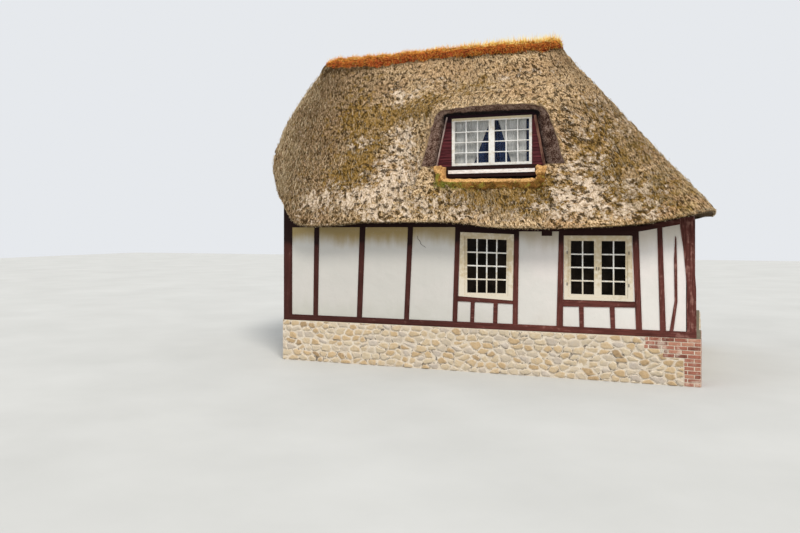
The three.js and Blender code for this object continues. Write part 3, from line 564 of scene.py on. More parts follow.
def thatch_half(name, material, columns, rows, front):
    """One half of the thatch. Rows run round its section, columns along the eave."""
    line = eave_line(columns)
    foot, head, out, inward, _, depth = line
    share = np.linspace(1, 2 * EAVE_ROLL / 5, rows)
    outer = coat(line, share, front)
    straw = straw_place(line, share, front)
    fade = smoothstep(share, 1.0, 0.97) * (0.5 + 0.5 * smoothstep(share, 0.0, 0.1))
    relief = reed_relief(straw, outer) * fade[:, None]
    outer += normals_of(outer) * relief[..., None]
    roll = foot + inward * EAVE_ROLL
    w = np.linspace(0, 1, LIP_ROWS + 1)[1:, None, None]
    lip = outer[-1] * (1 - w) ** 2 + foot * 2 * w * (1 - w) + roll * w ** 2
    inner_head = head.copy()
    inner_head[:, 0] = np.clip(head[:, 0], *INNER_RIDGE_X)
    inner_head[:, 2] = INNER_RIDGE_Z
    inner = foot + inward * depth
    inside = [inner + (inner_head - inner) * k for k in (0.0, *INNER_SHARES)]
    points = np.concatenate([head[None], outer, lip, inside])
    extra = len(points) - rows - 1
    straw = np.concatenate([straw[:1], straw, np.repeat(straw[-1:], extra, 0)])
    straw[rows + 1:, :, 2] -= np.arange(1, extra + 1)[:, None] * STRAW_STEP
    if not front:
        points[..., 1] = BACK_WALL - points[..., 1]
    growth = 1.0 if front else BACK_GROWTH
    made = piece(name, points + ORIGIN, grid_faces(len(points), columns, wrap_rows=True), material,
                 straw=straw, lichen=blotches(points, LICHEN) * growth,
                 moss=blotches(points, MOSS) * growth)
    return closed(made, fill=True)


print("halves ready to build")

# %% [markdown]
# The reed has gone grey-brown, with an olive and ochre skin of moss and large pale patches of
# lichen, each broken by dark pits. Where the patches lie is part of this roof's face, so a few
# soft blotches, each a place and a half size, say roughly where moss and lichen gather. The
# shader breaks their edges up with noise and draws the straws themselves.

# %% Where moss and lichen gather
# x, z, half width, half height and strength, on the front of the coat.
LICHEN = [
    (-7.5, 3.45, 1.0, 0.35, 0.56), (-6.1, 3.55, 1.0, 0.50, 0.72), (-5.9, 4.25, 0.6, 0.5, 0.66),
    (-6.0, 5.0, 0.4, 0.5, 0.60), (-6.3, 5.9, 0.6, 0.35, 0.54), (-7.06, 4.75, 0.3, 0.25, 0.60),
    (-8.2, 4.3, 0.5, 0.9, 0.20), (-4.7, 3.2, 1.3, 0.3, 0.40), (-2.3, 3.9, 0.4, 0.35, 0.45),
    (-1.85, 3.55, 0.6, 0.4, 0.34), (-2.6, 3.3, 0.7, 0.4, 0.36), (-1.0, 3.55, 0.4, 0.2, 0.40),
    (-3.4, 6.2, 1.2, 0.5, 0.25), (-1.3, 3.15, 0.9, 0.2, 0.40), (-5.3, 6.2, 0.9, 0.4, 0.30),
    (-1.8, 4.6, 0.9, 1.1, 0.40), (-3.9, 3.15, 1.4, 0.3, 0.20), (-0.6, 3.5, 0.5, 0.4, 0.25),
]
MOSS = [
    (-6.85, 4.6, 0.4, 0.5, 0.45), (-7.0, 3.95, 0.7, 0.3, 0.50), (-6.2, 5.4, 0.9, 0.3, 0.40),
    (-5.5, 5.6, 0.5, 0.3, 0.30), (-1.9, 4.6, 0.7, 0.9, 0.27), (-1.5, 4.0, 0.8, 0.5, 0.27),
    (-4.7, 6.0, 0.8, 0.35, 0.25), (-4.1, 3.45, 1.3, 0.25, 0.50), (-2.9, 3.5, 0.4, 0.5, 0.35),
    (-1.0, 3.4, 0.9, 0.3, 0.40), (-7.4, 5.4, 0.6, 0.8, 0.30),
]


def blotches(points, spots):
    """Sum of the spots' strengths, each fading as e to the minus squared distance in half sizes."""
    x, z = points[..., 0], points[..., 2]
    return sum(strength * np.exp(-((x - x0) / wide) ** 2 - ((z - z0) / high) ** 2)
               for x0, z0, wide, high, strength in spots)


print(len(LICHEN), "lichen and", len(MOSS), "moss blotches")

# %% Finish of the thatch
REED_DARK = (0.045, 0.025, 0.008)
REED = (0.315, 0.190, 0.075)
REED_LIGHT = (0.900, 0.680, 0.430)
REED_RED = (0.520, 0.270, 0.115)
REED_SHADY = (0.138, 0.080, 0.031)
REED_PINK = (0.610, 0.420, 0.265)
MOSS_DARK = (0.075, 0.040, 0.006)
MOSS_OCHRE = (0.335, 0.190, 0.036)
REED_CALM = (0.570, 0.410, 0.235)
LICHEN_TONE = (0.440, 0.295, 0.170)
LICHEN_PALE = (0.830, 0.690, 0.540)
HIP_STRAW = (0.700, 0.500, 0.190)
UNDER_TURF = 6.85  # height of the painted shadow strip under the turf


def holes_of(straw):
    """Larger gaps where a clump of lichen has dropped off and brown reed shows."""
    return straw.scaled(6, 6, 5).noise(1.0, detail=4.0, roughness=0.7).step(0.50, 0.40) * 0.9


def paint_thatch(place):
    """Straws, moss over them, lichen over both, pits through everything, and painted shade on the left end,
    on the underside and under the turf.
    """
    straw = place.attribute("straw", out=1)
    strands = straw.scaled(30, 30, 15).noise(1.0, detail=5.0, roughness=0.72)
    fibres = straw.scaled(80, 80, 24).noise(1.0, detail=2.0)
    tone = strands * 0.66 + fibres * 0.34
    colour = ramp(tone, (0.40, REED_DARK), (0.47, REED), (0.58, REED_LIGHT))
    calm = place.part("z").step(4.9, 6.2) * place.noise(1.4, 4.0).step(0.32, 0.58)
    colour = blend(calm * 0.42, colour, REED_CALM)
    rusty = place.noise(0.9, 3.0).step(0.48, 0.66) * 0.4 + place.part("x").step(0.9, 2.6) * 0.2
    colour = blend(rusty, colour, ramp(tone, (0.42, REED_DARK), (0.58, REED_RED)))
    # painted shade: the coat darkens towards its left end
    left = place.part("x").step(-1.0, -3.4)
    shady = ramp(tone, (0.42, REED_DARK), (0.51, REED_SHADY), (0.63, REED_PINK))
    colour = blend(left * 0.82, colour, shady)
    growth = place.noise(4.6, 6.0, roughness=0.74)
    moss = (place.attribute("moss") * 0.9 + growth * 1.7 + fibres * 0.4 - 0.2).step(1.00, 1.13)
    colour = blend(moss * 0.88, colour, ramp(tone, (0.42, MOSS_DARK), (0.58, MOSS_OCHRE)))
    crust = place.noise(8.5, 7.0, roughness=0.78)
    patches = place.attribute("lichen") * 1.15 + place.noise(1.9, 4.0, roughness=0.6) * 1.3 - 0.2
    lichen = (patches + (crust - 0.5) * 3.0 - holes_of(straw)).step(0.88, 1.06)
    colour = blend(lichen * 0.88, colour, ramp(tone, (0.40, LICHEN_TONE), (0.56, LICHEN_PALE)))
    holes = straw.scaled(12, 12, 9).noise(1.0, detail=5.0, roughness=0.7).step(0.47, 0.41)
    colour = blend(holes * 0.9, colour, REED_DARK)
    hip = (place.part("x").step(2.2, 4.6) * place.noise(3.0, 4.0).step(0.42, 0.58)) * 0.35
    colour = blend(hip, colour, ramp(tone, (0.42, MOSS_DARK), (0.58, HIP_STRAW)))
    colour = blend(place.attribute("lip") * 0.45, colour, ramp(tone, (0.42, REED), (0.58, REED_LIGHT)))
    # painted shade: the underside of the coat, where the straw's climb is below zero, is dark
    colour = blend(straw.part("z").step(0.02, -0.03) * 0.9, colour, REED_DARK)
    # painted shadow: a dark strip on the reed just under the turf, lower at the left end
    painted_turf_shadow = (place.part("z") + left * 0.12).step(UNDER_TURF - 0.12, UNDER_TURF)
    colour = blend(painted_turf_shadow * 0.6, colour, REED_DARK)
    return colour, tone + lichen * 0.2 - holes * 0.6, 0.05


thatch_finish = finish("weathered_thatch", paint_thatch, roughness=0.95)
print("thatch finish ready")

# %% The coat's two halves
front_thatch = thatch_half("thatch_front", thatch_finish, columns=560, rows=150, front=True)
back_thatch = thatch_half("thatch_back", thatch_finish, columns=380, rows=100, front=False)

# %% [markdown]
# ## The mouth of the dormer
#
# The eyebrow ends in a deep, splayed opening that the thatcher cut with long shears: its reveals
# are the chopped ends of the reed, darker than the weathered face. The opening is a body lofted
# from the wide mouth to the narrow arch round the window, roughened like the reveals, and cut out
# of the coat. In front of the mouth it flares, which rounds the coat's lip. It is given as a row
# of rings, and one helper closes such a row with a pole in the middle of either end.

# %% The opening's outlines
def arch(foot_left, head_left, head_right, foot_right, ease, crown, count):
    """Points (x, z) along an arch, as many as count says. Curves ease its corners, from one distance
    before to the same distance after them, and its head rises by the crown in the middle."""
    before, at, after, end = np.array([foot_left, head_left, head_right, foot_right], float)
    low_left, high_left = at + unit(before - at) * ease, at + unit(after - at) * ease
    high_right, low_right = after + unit(at - after) * ease, after + unit(end - after) * ease
    summit = (high_left + high_right) / 2 + (0, 2 * crown)
    t = np.linspace(0, 1, 40)[:, None]
    curve = [a * (1 - t) ** 2 + b * 2 * t * (1 - t) + c * t ** 2 for a, b, c in (
        (before, (before + low_left) / 2, low_left), (low_left, at, high_left),
        (high_left, summit, high_right), (high_right, after, low_right),
        (low_right, (low_right + end) / 2, end))]
    line = np.concatenate(curve)
    walked = np.concatenate([[0], np.cumsum(np.linalg.norm(np.diff(line, axis=0), axis=1))])
    even = np.linspace(0, walked[-1], count)
    return join(*(np.interp(even, walked, coordinate) for coordinate in line.T))


ARCH_POINTS = 220
MOUTH = arch((-5.37, 4.13), (-5.08, 5.29), (-2.80, 5.29), (-2.44, 4.11), 0.33, 0.045, ARCH_POINTS)
FACE = arch((-5.149, 4.13), (-4.915, 5.20), (-3.05, 5.18), (-2.856, 4.11), 0.09, 0.0, ARCH_POINTS)
BOARDS_FRONT = 0.45  # the y of the boards that the opening ends at
print("mouth", np.ptp(MOUTH, axis=0).round(2), "face", np.ptp(FACE, axis=0).round(2))

# %% Finish of the cut reed
REVEAL_DARK = (0.022, 0.008, 0.005)
REVEAL = (0.130, 0.068, 0.048)
REVEAL_LIGHT = (0.460, 0.330, 0.260)
REVEAL_RIM = (0.430, 0.310, 0.190)
SHADE = (0.004, 0.004, 0.007)


def paint_reveal(place):
    """Chopped reed ends: fine dark and light grains, a pale rim, painted light on the left side and
    on the outer part of the head, and painted shade where the opening is deepest, most of all
    under its head."""
    grains = place.noise(46.0, 4.0, roughness=0.75)
    clumps = place.noise(9.0, 3.0)
    tone = grains * 0.65 + clumps * 0.35
    # painted light: the left side of the opening, which faces the light, is a little lighter
    left = place.part("x").step(0.6, -0.3)
    colour = ramp(tone + left * 0.03, (0.42, REVEAL_DARK), (0.50, REVEAL), (0.60, REVEAL_LIGHT))
    inward = place.part("y") + clumps * 0.1
    # painted light on the outer part of the head, which faces down
    head = place.part("z").step(5.02, 5.20)
    colour = blend(head * 0.45, colour, ramp(tone, (0.42, REVEAL), (0.56, REVEAL_LIGHT)))
    # painted shade: deep under the head and wherever the opening is deepest, towards the SHADE colour
    under = head * inward.step(-2.31, -2.25)
    colour = blend((inward.step(-2.30, -2.16) * 0.7 + under).clamp() * 0.95, colour, SHADE)
    rim = (inward + grains * 0.05).step(-2.41, -2.44)
    return blend(rim * 0.7, colour, REVEAL_RIM), tone, 0.05


reveal_finish = finish("cut_reed_reveal", paint_reveal, roughness=0.95)
print("reveal finish ready")

# %% The opening's body
BEFORE_ROOF = -0.7
INSIDE_ROOF = 2.0
LIP = 0.055  # how far the mouth flares in front of its plane
MOUTH_DEPTHS = (BEFORE_ROOF, -0.3, 0.0, 0.05, 0.08, 0.11, 0.14, 0.17)
THROAT_FOOT = 4.12  # the height that its foot sags to in the middle


def raised(corners, y):
    """Corners (x, z) given a depth y, one for all or one per corner."""
    corners = np.asarray(corners, float)
    return join(corners[..., 0], y, corners[..., 1])


def tube(name, rings, material, smooth=True, **attributes):
    """A closed body from rows of points, each a ring, with a pole in the middle of the first and
    of the last. The attributes have a row for either pole too."""
    poles = np.repeat(rings[[0, -1]].mean(axis=1, keepdims=True), rings.shape[1], axis=1)
    points = np.concatenate([poles[:1], rings, poles[1:]])
    faces = grid_faces(*points.shape[:2], wrap_columns=True)
    return closed(piece(name, points + ORIGIN, faces, material, smooth, **attributes))


def throat():
    """The opening's body. Rows run back from before the roof to behind the boards, and columns
    round the arch and back along its foot. Between mouth and face the sides are lumpy."""
    depth = np.array([*MOUTH_DEPTHS, *np.linspace(0.2, BOARDS_FRONT, 14), INSIDE_ROOF])
    straight = np.clip((depth - HOOD_FRONT) / (BOARDS_FRONT - HOOD_FRONT), 0, 1)
    share = smoothstep(depth, HOOD_FRONT, BOARDS_FRONT) * 0.5 + 0.5 * straight
    flare = LIP * np.clip((0.17 - depth) / 0.12, 0, 1) ** 2 + np.maximum(0, 0.02 - depth) * 0.8
    ring = MOUTH + (FACE - MOUTH) * share[:, None, None]
    beside = unit(np.gradient(ring, axis=1))[..., ::-1] * (-1, 1)
    ring = ring + beside * flare[:, None, None]
    points = raised(ring, depth[:, None])
    lumps = rough(points, 0.16, 51, octaves=3) * 0.014 + rough(points, 0.03, 57, octaves=1) * 0.005
    lumps *= smoothstep(depth, 0.02, 0.12)[:, None] * (1 - smoothstep(depth, 0.40, 0.45))[:, None]
    points[..., ::2] += beside * lumps[..., None]
    foot = join(HOOD_X, depth, THROAT_FOOT)[:, None]
    return tube("throat", np.concatenate([points, foot], axis=1), reveal_finish)


opening = throat()

# %% Cutting the opening
# The outline (x, z) of the seat that the bolster under the window lies in.
SEAT = [(-5.03, 4.20), (-5.05, 3.90), (-5.00, 3.78), (-2.87, 3.73), (-2.81, 3.86), (-2.82, 4.20)]


def cut_by(made, *cutters):
    """Takes closed bodies out of a piece. The cut faces keep the cutter's material."""
    for cutter in cutters:
        change = made.modifiers.new("cut", "BOOLEAN")
        change.operation, change.solver, change.object = "DIFFERENCE", "MANIFOLD", cutter
        change.material_mode = "TRANSFER"
    result = bpy.data.meshes.new_from_object(made.evaluated_get(bpy.context.evaluated_depsgraph_get()))
    made.modifiers.clear()
    made.data = result
    for cutter in cutters:
        bpy.data.objects.remove(cutter)


seat_cut = tube("seat_cut", raised([SEAT, SEAT], np.array([[BEFORE_ROOF], [BOARDS_FRONT]])),
                reveal_finish, smooth=False)
cut_by(front_thatch, opening, seat_cut)
print("materials on the coat:", [slot.name for slot in front_thatch.data.materials])

# %% The paler lip
LIP_BOX = ((-5.6, -0.3, 4.1), (-2.2, 0.26, 5.6))  # the corners of the space round the lip


def mark_lip(made):
    """An attribute that is 1 close to the mouth's line and fades to 0 six centimetres from it."""
    points = np.empty(len(made.data.vertices) * 3)
    made.data.vertices.foreach_get("co", points)
    points = points.reshape(-1, 3) - ORIGIN
    lip = np.zeros(len(points))
    low, high = LIP_BOX
    close = np.flatnonzero(((points > low) & (points < high)).all(axis=1))
    gap = np.linalg.norm(points[close][:, None, ::2] - MOUTH[None], axis=2).min(axis=1)
    lip[close] = smoothstep(gap, 0.060, 0.020)
    made.data.attributes.new("lip", "FLOAT", "POINT").data.foreach_set("value", lip)
    print("vertices on the lip:", int((lip > 0.5).sum()))


mark_lip(front_thatch)
settle(front_thatch, "thatch", "thatch_roof")
settle(back_thatch, "thatch", "thatch_roof")

# %% [markdown]
# ## Straws, turf and moss
#
# What makes thatch look like thatch is its loose ends: straws that stick out of the trimmed eave,
# lie slantwise on the slope, or stand as dry grass on the ridge. Each is a slim spike of four
# triangles. Hair would be lighter to set up, but it has no mesh to keep, so the spikes are worked
# out as arrays, thousands at a time.

# %% Spikes
SPIKE_FACES = [(0, 1, 3), (1, 2, 3), (2, 0, 3), (0, 2, 1)]
STRAW_DARK = (0.110, 0.075, 0.035)
STRAW_BROWN = (0.330, 0.235, 0.120)
STRAW_PALE = (0.680, 0.560, 0.380)


def repeated(faces, points_each, count):
    """The faces of one body, repeated for count bodies that have points of their own."""
    return (np.asarray(faces) + points_each * np.arange(count)[:, None, None]).reshape(-1, len(faces[0]))


def spikes(name, slot, roots, tips, width, material, tone):
    """Three-sided spikes. Three corners stand round each root, a third of a turn apart, and the
    fourth is the tip. Each spike has a tone of its own."""
    along = unit(tips - roots)
    side = unit(np.cross(along, (0.31, 0.27, 0.91)))
    other = np.cross(along, side)
    angle = np.arange(3)[:, None] * 2 * np.pi / 3
    ring = np.cos(angle) * side[:, None] + np.sin(angle) * other[:, None]
    base = roots[:, None] + ring * np.asarray(width)[:, None, None] / 2
    points = np.concatenate([base, tips[:, None]], axis=1)
    faces = repeated(SPIKE_FACES, 4, len(roots))
    made = piece(name, points + ORIGIN, faces, material, smooth=False,
                 tone=np.repeat(tone, 4), tip=np.tile((0, 0, 0, 1), len(roots)))
    settle(made, slot)


def paint_straw(place):
    """Each straw has its own tone, from brown to pale, and is paler at its tip."""
    tone = place.attribute("tone") + place.attribute("tip") * 0.15
    return ramp(tone, (0.0, STRAW_DARK), (0.5, STRAW_BROWN), (1.0, STRAW_PALE))


straw_finish = finish("loose_straw", paint_straw, roughness=0.8)
print("a spike has", len(SPIKE_FACES), "triangles")

# %% Loose straws on the coat
LOOSE_STRAWS = 20000
EAVE_STRAWS = 6500
STRAW_COLUMNS = 260
STRAW_ROWS = 90
LAST_ROW = 85  # loose straws lie above it
EAVE_SAMPLES = 900


def coat_with_normals(front):
    """The smooth coat again, coarser, with its normals and its directions up the slope."""
    line = eave_line(STRAW_COLUMNS)
    points = coat(line, np.linspace(1, 0.004, STRAW_ROWS), front)
    normals, uphill = normals_of(points), -unit(np.gradient(points, axis=0))
    if not front:
        points[..., 1] = BACK_WALL - points[..., 1]
        normals[..., 1] *= -1
        uphill[..., 1] *= -1
    return points, normals, uphill


def in_mouth(points, margin):
    """True for points in front of the dormer's opening or its apron."""
    x, z = points[..., 0], points[..., 2]
    half = np.interp(z, (4.1, 5.25), (1.46, 1.14)) + margin
    return (abs(x - HOOD_X) < half) & (z > 3.68 - margin) & (z < 5.33 + margin) & (points[..., 1] < 1.0)


def loose_straws(name, count, front, seed):
    """Straws that lie down the slope, turned a little at random, with their lower ends lifted."""
    draw = np.random.default_rng(seed)
    points, normals, uphill = coat_with_normals(front)
    rows = draw.triangular(0, LAST_ROW, LAST_ROW, count).astype(int)
    pick = rows, draw.integers(0, STRAW_COLUMNS, count)
    place, normal, up = points[pick], normals[pick], uphill[pick]
    keep = ~in_mouth(place, 0.04)
    place, normal, up = place[keep], normal[keep], up[keep]
    count = len(place)
    place = place + draw.normal(0, 0.02, (count, 3))
    across = np.cross(normal, up)
    lean = unit(-up + across * draw.normal(0, 0.35, (count, 1)))
    length = draw.uniform(0.05, 0.17, (count, 1))
    roots = place - normal * 0.012
    tips = place + lean * length + normal * draw.uniform(0.0, 0.028, (count, 1))
    spikes(name, "thatch", roots, tips, draw.uniform(0.005, 0.011, count), straw_finish,
           draw.beta(2.2, 2.0, count))


def eave_straws(name, count, front, seed):
    """Straw ends along the trimmed lower edge, pointing down the slope."""
    draw = np.random.default_rng(seed)
    line = eave_line(EAVE_SAMPLES)
    foot, _, _, inward, _, _ = line
    slope = coat(line, [0.014, 0.0], front)
    down = unit(slope[1] - slope[0])
    pick = draw.integers(0, EAVE_SAMPLES, count)
    depth = draw.uniform(0, 1, (count, 1))
    roots = slope[0][pick] * (1 - depth) + (foot + inward * EAVE_ROLL)[pick] * depth + (0, 0, 0.006)
    roots += draw.normal(0, 0.008, (count, 3))
    lean = unit(down[pick] + draw.normal(0, 0.25, (count, 3)))
    tips = roots + lean * draw.uniform(0.008, 0.034, (count, 1))
    if not front:
        roots[:, 1], tips[:, 1] = BACK_WALL - roots[:, 1], BACK_WALL - tips[:, 1]
    spikes(name, "thatch", roots, tips, draw.uniform(0.006, 0.012, count), straw_finish,
           draw.beta(2.5, 1.8, count))


loose_straws("loose_straws_front", LOOSE_STRAWS, True, 71)
loose_straws("loose_straws_back", LOOSE_STRAWS // 2, False, 72)
eave_straws("eave_straws_front", EAVE_STRAWS, True, 73)
eave_straws("eave_straws_back", EAVE_STRAWS // 2, False, 74)

# %% [markdown]
# The ridge is sealed with a long roll of turf. It has dried to red and orange, sags between its
# pegs, and wears yellow grass on top, taller towards the hipped end, where two strands of turf
# lie one over the other. The roll is a half round carried along the ridge, with noise on its
# radius and a crease between the strands.

# %% The turf along the ridge
CAP_LEFT = -8.72
CAP_RIGHT = -2.90
CAP_HALF_WIDTH = 0.265
CAP_HEIGHT = 0.165
CAP_SAG = 0.05  # how much lower the roll lies at the left end
CAP_SPREAD = 0.085  # how much further its foot reaches there
ROLL_STATIONS = 360  # points along the roll
ROLL_ANGLES = 44  # and over it, from flank to flank
TURF_CREVICE = (0.050, 0.012, 0.006)
TURF_RED = (0.480, 0.095, 0.028)
TURF_ORANGE = (0.720, 0.260, 0.045)
TURF_YELLOW = (0.850, 0.560, 0.110)
GRASS_TIP = (0.930, 0.800, 0.330)


def paint_turf(place):
    """Red at the foot, orange on the flanks and yellow on top, with dark crevices."""
    rise = place.attribute("rise")
    strands = place.scaled(16, 30, 44).noise(1.0, 5.0, roughness=0.72, distortion=0.8)
    hipped = place.part("x").step(-1.5, 1.5)
    warmth = rise + strands * 0.9 + hipped * 0.16 - 0.50
    body = ramp(warmth, (0.10, TURF_RED), (0.50, TURF_ORANGE), (1.0, TURF_YELLOW))
    crevice = place.scaled(9, 20, 30).noise(1.0, 5.0, roughness=0.75, distortion=0.6).step(0.53, 0.42)
    return blend(crevice * 0.86, body, TURF_CREVICE), strands - crevice * 0.6, 0.04


def paint_grass(place):
    """Dry grass: each blade from dark red through orange to yellow, paler towards its tip."""
    return ramp(place.attribute("tone") + place.attribute("tip") * 0.25 + 0.2, (0.0, TURF_CREVICE),
                (0.17, TURF_RED), (0.5, TURF_ORANGE), (0.85, TURF_YELLOW), (1.0, GRASS_TIP))


def ridge_turf():
    """The roll: angle runs over it from flank to flank, and each row is one station along it."""
    x = np.linspace(CAP_LEFT, CAP_RIGHT, ROLL_STATIONS)[:, None]
    angle = np.radians(np.linspace(-28, 208, ROLL_ANGLES))[None]
    wander = rough(join(x, 0, 0), 0.7, 81)
    spread = smoothstep(-x, 5.2, 7.6)
    width = CAP_HALF_WIDTH * (1 + 0.16 * wander) + CAP_SPREAD * spread
    rise = np.sin(angle)
    strands = smoothstep(x, -5.9, -5.2) * np.exp(-((rise - 0.55 - 0.12 * wander) / 0.13) ** 2)
    radius = 1 - 0.16 * strands * (np.cos(angle) < 0)
    from_middle = (x - (CAP_LEFT + CAP_RIGHT) / 2) / (CAP_RIGHT - CAP_LEFT) * 2
    end = np.sqrt(np.clip(1 - from_middle ** 60, 0, 1))
    y = MIDDLE + np.cos(angle) * width * radius * (0.25 + 0.75 * end)
    z = RIDGE_Z - 0.01 + rise * CAP_HEIGHT * radius * np.where(rise > 0, end, 1)
    points = join(x, y, z)
    points += normals_of(points) * (rough(points, 0.13, 83) * 0.042)[..., None]
    ragged = np.clip(lattice_noise(points / (0.16, 9, 9), 1.0, 85) + 0.2, 0, 1)
    ragged *= smoothstep(-rise, -0.1, 0.4)
    points[..., 2] -= ragged * 0.07 + spread * (CAP_SAG + CAP_SPREAD * smoothstep(-rise, -0.6, 0.4))
    made = tube("ridge_turf", points, finish("dry_turf", paint_turf, roughness=0.95),
                rise=np.broadcast_to(np.clip(rise, 0, 1), (ROLL_STATIONS + 2, ROLL_ANGLES)))
    settle(made, "ridge_turf", "ridge_cap")
    return points


turf_points = ridge_turf()
turf_normals = normals_of(turf_points)

# %% Grass on the ridge
GRASS_BLADES = 12500
FRINGE_BLADES = 7500
FOOT_ANGLES = 10  # how many of the points over it belong to its foot on either side
grass_finish = finish("dry_grass", paint_grass, roughness=0.8)


def ridge_grass():
    """Blades rooted all over the roll. Those on top are long, the more so towards the hipped end."""
    draw = np.random.default_rng(91)
    rows = draw.integers(2, ROLL_STATIONS - 2, GRASS_BLADES)
    angles = draw.normal(ROLL_ANGLES / 2, ROLL_ANGLES / 4, GRASS_BLADES)
    columns = np.clip(angles, 0, ROLL_ANGLES - 1).astype(int)
    roots, out = turf_points[rows, columns], turf_normals[rows, columns]
    top = np.clip(out[:, 2:], 0, 1) ** 3
    right = smoothstep(roots[:, :1], -6.5, -3.6)
    length = 0.020 + draw.uniform(0, 1, (GRASS_BLADES, 1)) ** 2.6 * (0.04 + top * (0.07 + 0.12 * right))
    lean = unit(out + (0, 0, 0.7) * top + draw.normal(0, 0.35, (GRASS_BLADES, 3)))
    tone = top[:, 0] * (0.22 + 0.40 * right[:, 0]) + draw.normal(0.12, 0.24, GRASS_BLADES)
    spikes("ridge_grass", "ridge_turf", roots - out * 0.006, roots + lean * length,
           draw.uniform(0.006, 0.014, GRASS_BLADES), grass_finish, np.clip(tone, -0.2, 0.95))


def turf_fringe():
    """Red roots and stems that hang from the roll's foot over the thatch on both sides."""
    draw = np.random.default_rng(93)
    count = FRINGE_BLADES
    rows = draw.integers(2, ROLL_STATIONS - 2, count)
    columns = np.where(draw.uniform(0, 1, count) < 0.6,
                       draw.integers(ROLL_ANGLES - FOOT_ANGLES, ROLL_ANGLES, count),
                       draw.integers(0, FOOT_ANGLES, count))
    roots, out = turf_points[rows, columns], turf_normals[rows, columns]
    lean = unit(out * 0.9 + (0, 0, -1.0) + draw.normal(0, 0.35, (count, 3)))
    clumps = 0.6 + 0.9 * np.clip(lattice_noise(roots / (0.22, 9, 9), 1.0, 94), 0, 1)
    tips = roots + lean * (draw.uniform(0.030, 0.110, count) * clumps)[:, None]
    spikes("turf_fringe", "ridge_turf", roots - out * 0.006, tips, draw.uniform(0.006, 0.012, count),
           grass_finish, np.clip(draw.normal(0.10, 0.22, count), -0.2, 0.55))


ridge_grass()
turf_fringe()

# %% [markdown]
# Under the window a bolster of straw carries the flower box and turns up at both ends, where the
# fresh pale cuts show. Its front has grown over with rust-brown and yellow-green moss. It is a
# soft rectangle carried along a path shaped like a wide U.

# %% The straw bolster under the window
BOLSTER_PATH = [  # x, z and half the width
    (-4.955, 4.120, 0.100), (-4.965, 3.98, 0.100), (-4.940, 3.83, 0.112), (-4.78, 3.740, 0.128),
    (-3.90, 3.725, 0.130), (-3.07, 3.712, 0.126), (-2.900, 3.80, 0.105), (-2.880, 3.95, 0.086),
    (-2.880, 4.080, 0.082),
]
BOLSTER_ROWS = 240
BOLSTER_SIDES = 72
BOLSTER_FRONT = -0.03
BOLSTER_BACK = 0.449
BOLSTER_TUFTS = 2600
STRAW_CUT = (0.780, 0.460, 0.180)
STRAW_CUT_DARK = (0.400, 0.190, 0.060)
MOSS_RUST = (0.270, 0.120, 0.025)
MOSS_BROWN = (0.085, 0.045, 0.012)
MOSS_GREEN = (0.300, 0.290, 0.045)
BLADE_DARK = (0.100, 0.100, 0.020)
BLADE_GREEN = (0.500, 0.520, 0.100)


def paint_bolster(place):
    """Pale cut straw above and at the ends, moss in rust, brown and green on the front, and painted shadow
    along the lower edge.
    """
    grains = place.noise(34.0, 5.0, roughness=0.72)
    cut = (place.attribute("fresh") + (grains - 0.5) * 1.1).step(0.40, 0.62)
    straw = ramp(grains, (0.36, STRAW_CUT_DARK), (0.56, STRAW_CUT))
    tufts = grains * 0.6 + place.noise(6.0, 3.0) * 0.4
    moss = ramp(tufts, (0.40, MOSS_BROWN), (0.50, MOSS_RUST), (0.62, STRAW_CUT_DARK))
    left = place.part("x").step(0.8, -0.1)
    green = place.noise(9.0, 5.0, roughness=0.7) + grains * 0.5 + left * 0.12
    moss = blend(green.step(0.80, 0.90) * 0.6, moss, MOSS_GREEN)
    # painted shadow: the lower edge darkens to brown, as the shadow under the bolster
    low = (place.part("z") + (grains - 0.5) * 0.06).step(3.68, 3.61)
    moss = blend(low * 0.75, moss, MOSS_BROWN)
    return blend(cut, moss, straw), grains, 0.03


def softened(wave):
    """A wave from -1 to 1, drawn out towards both, which makes a rectangle of a circle."""
    return np.sign(wave) * abs(wave) ** 0.6


def straw_bolster():
    """Each row is a soft rectangle across the path: the path's point plus its normal times one
    coordinate and the depth in y as the other, pushed outwards by noise."""
    line = through(BOLSTER_PATH, BOLSTER_ROWS)
    path, half = line[:, :2], line[:, 2:]
    beside = unit(np.gradient(path, axis=0))[:, ::-1] * (1, -1)
    angle = np.linspace(0, 2 * np.pi, BOLSTER_SIDES, endpoint=False)
    across = softened(np.cos(angle)) * half
    depth = (BOLSTER_FRONT + BOLSTER_BACK) / 2
    back = depth + softened(np.sin(angle)) * (BOLSTER_BACK - BOLSTER_FRONT) / 2
    end = np.minimum(np.arange(BOLSTER_ROWS), np.arange(BOLSTER_ROWS)[::-1]) / 8
    close = np.sqrt(1 - (1 - np.clip(end, 0, 1)) ** 2) * 0.3 + 0.7
    x = path[:, None, 0] + beside[:, None, 0] * across * close[:, None]
    z = path[:, None, 1] + beside[:, None, 1] * across * close[:, None]
    points = join(x, back, z)
    front = smoothstep(points[..., 1], 0.22, 0.02)
    outer = smoothstep(across, -0.02, 0.06)
    relief = rough(points, 0.09, 95) * 0.028 + rough(points, 0.3, 97) * 0.014
    points += -normals_of(points) * (relief * np.maximum(front, outer))[..., None]
    fresh = np.maximum(smoothstep(end, 7.0, 1.0)[:, None], smoothstep(-across, 0.030, 0.085))
    made = tube("straw_bolster", points, finish("mossy_bolster", paint_bolster, roughness=0.95),
                fresh=np.pad(fresh, ((1, 1), (0, 0)), constant_values=1.0))
    settle(made, "cut_straw", "dormer_apron")


straw_bolster()

# %% Moss tufts and straw ends on the bolster
def paint_blades(place):
    """Each blade its own tone, from brown moss to green grass, and paler at its tip."""
    tone = place.attribute("tone") + place.attribute("tip") * 0.1
    return ramp(tone, (0.0, MOSS_BROWN), (0.45, MOSS_RUST), (0.6, BLADE_DARK), (1.0, BLADE_GREEN))


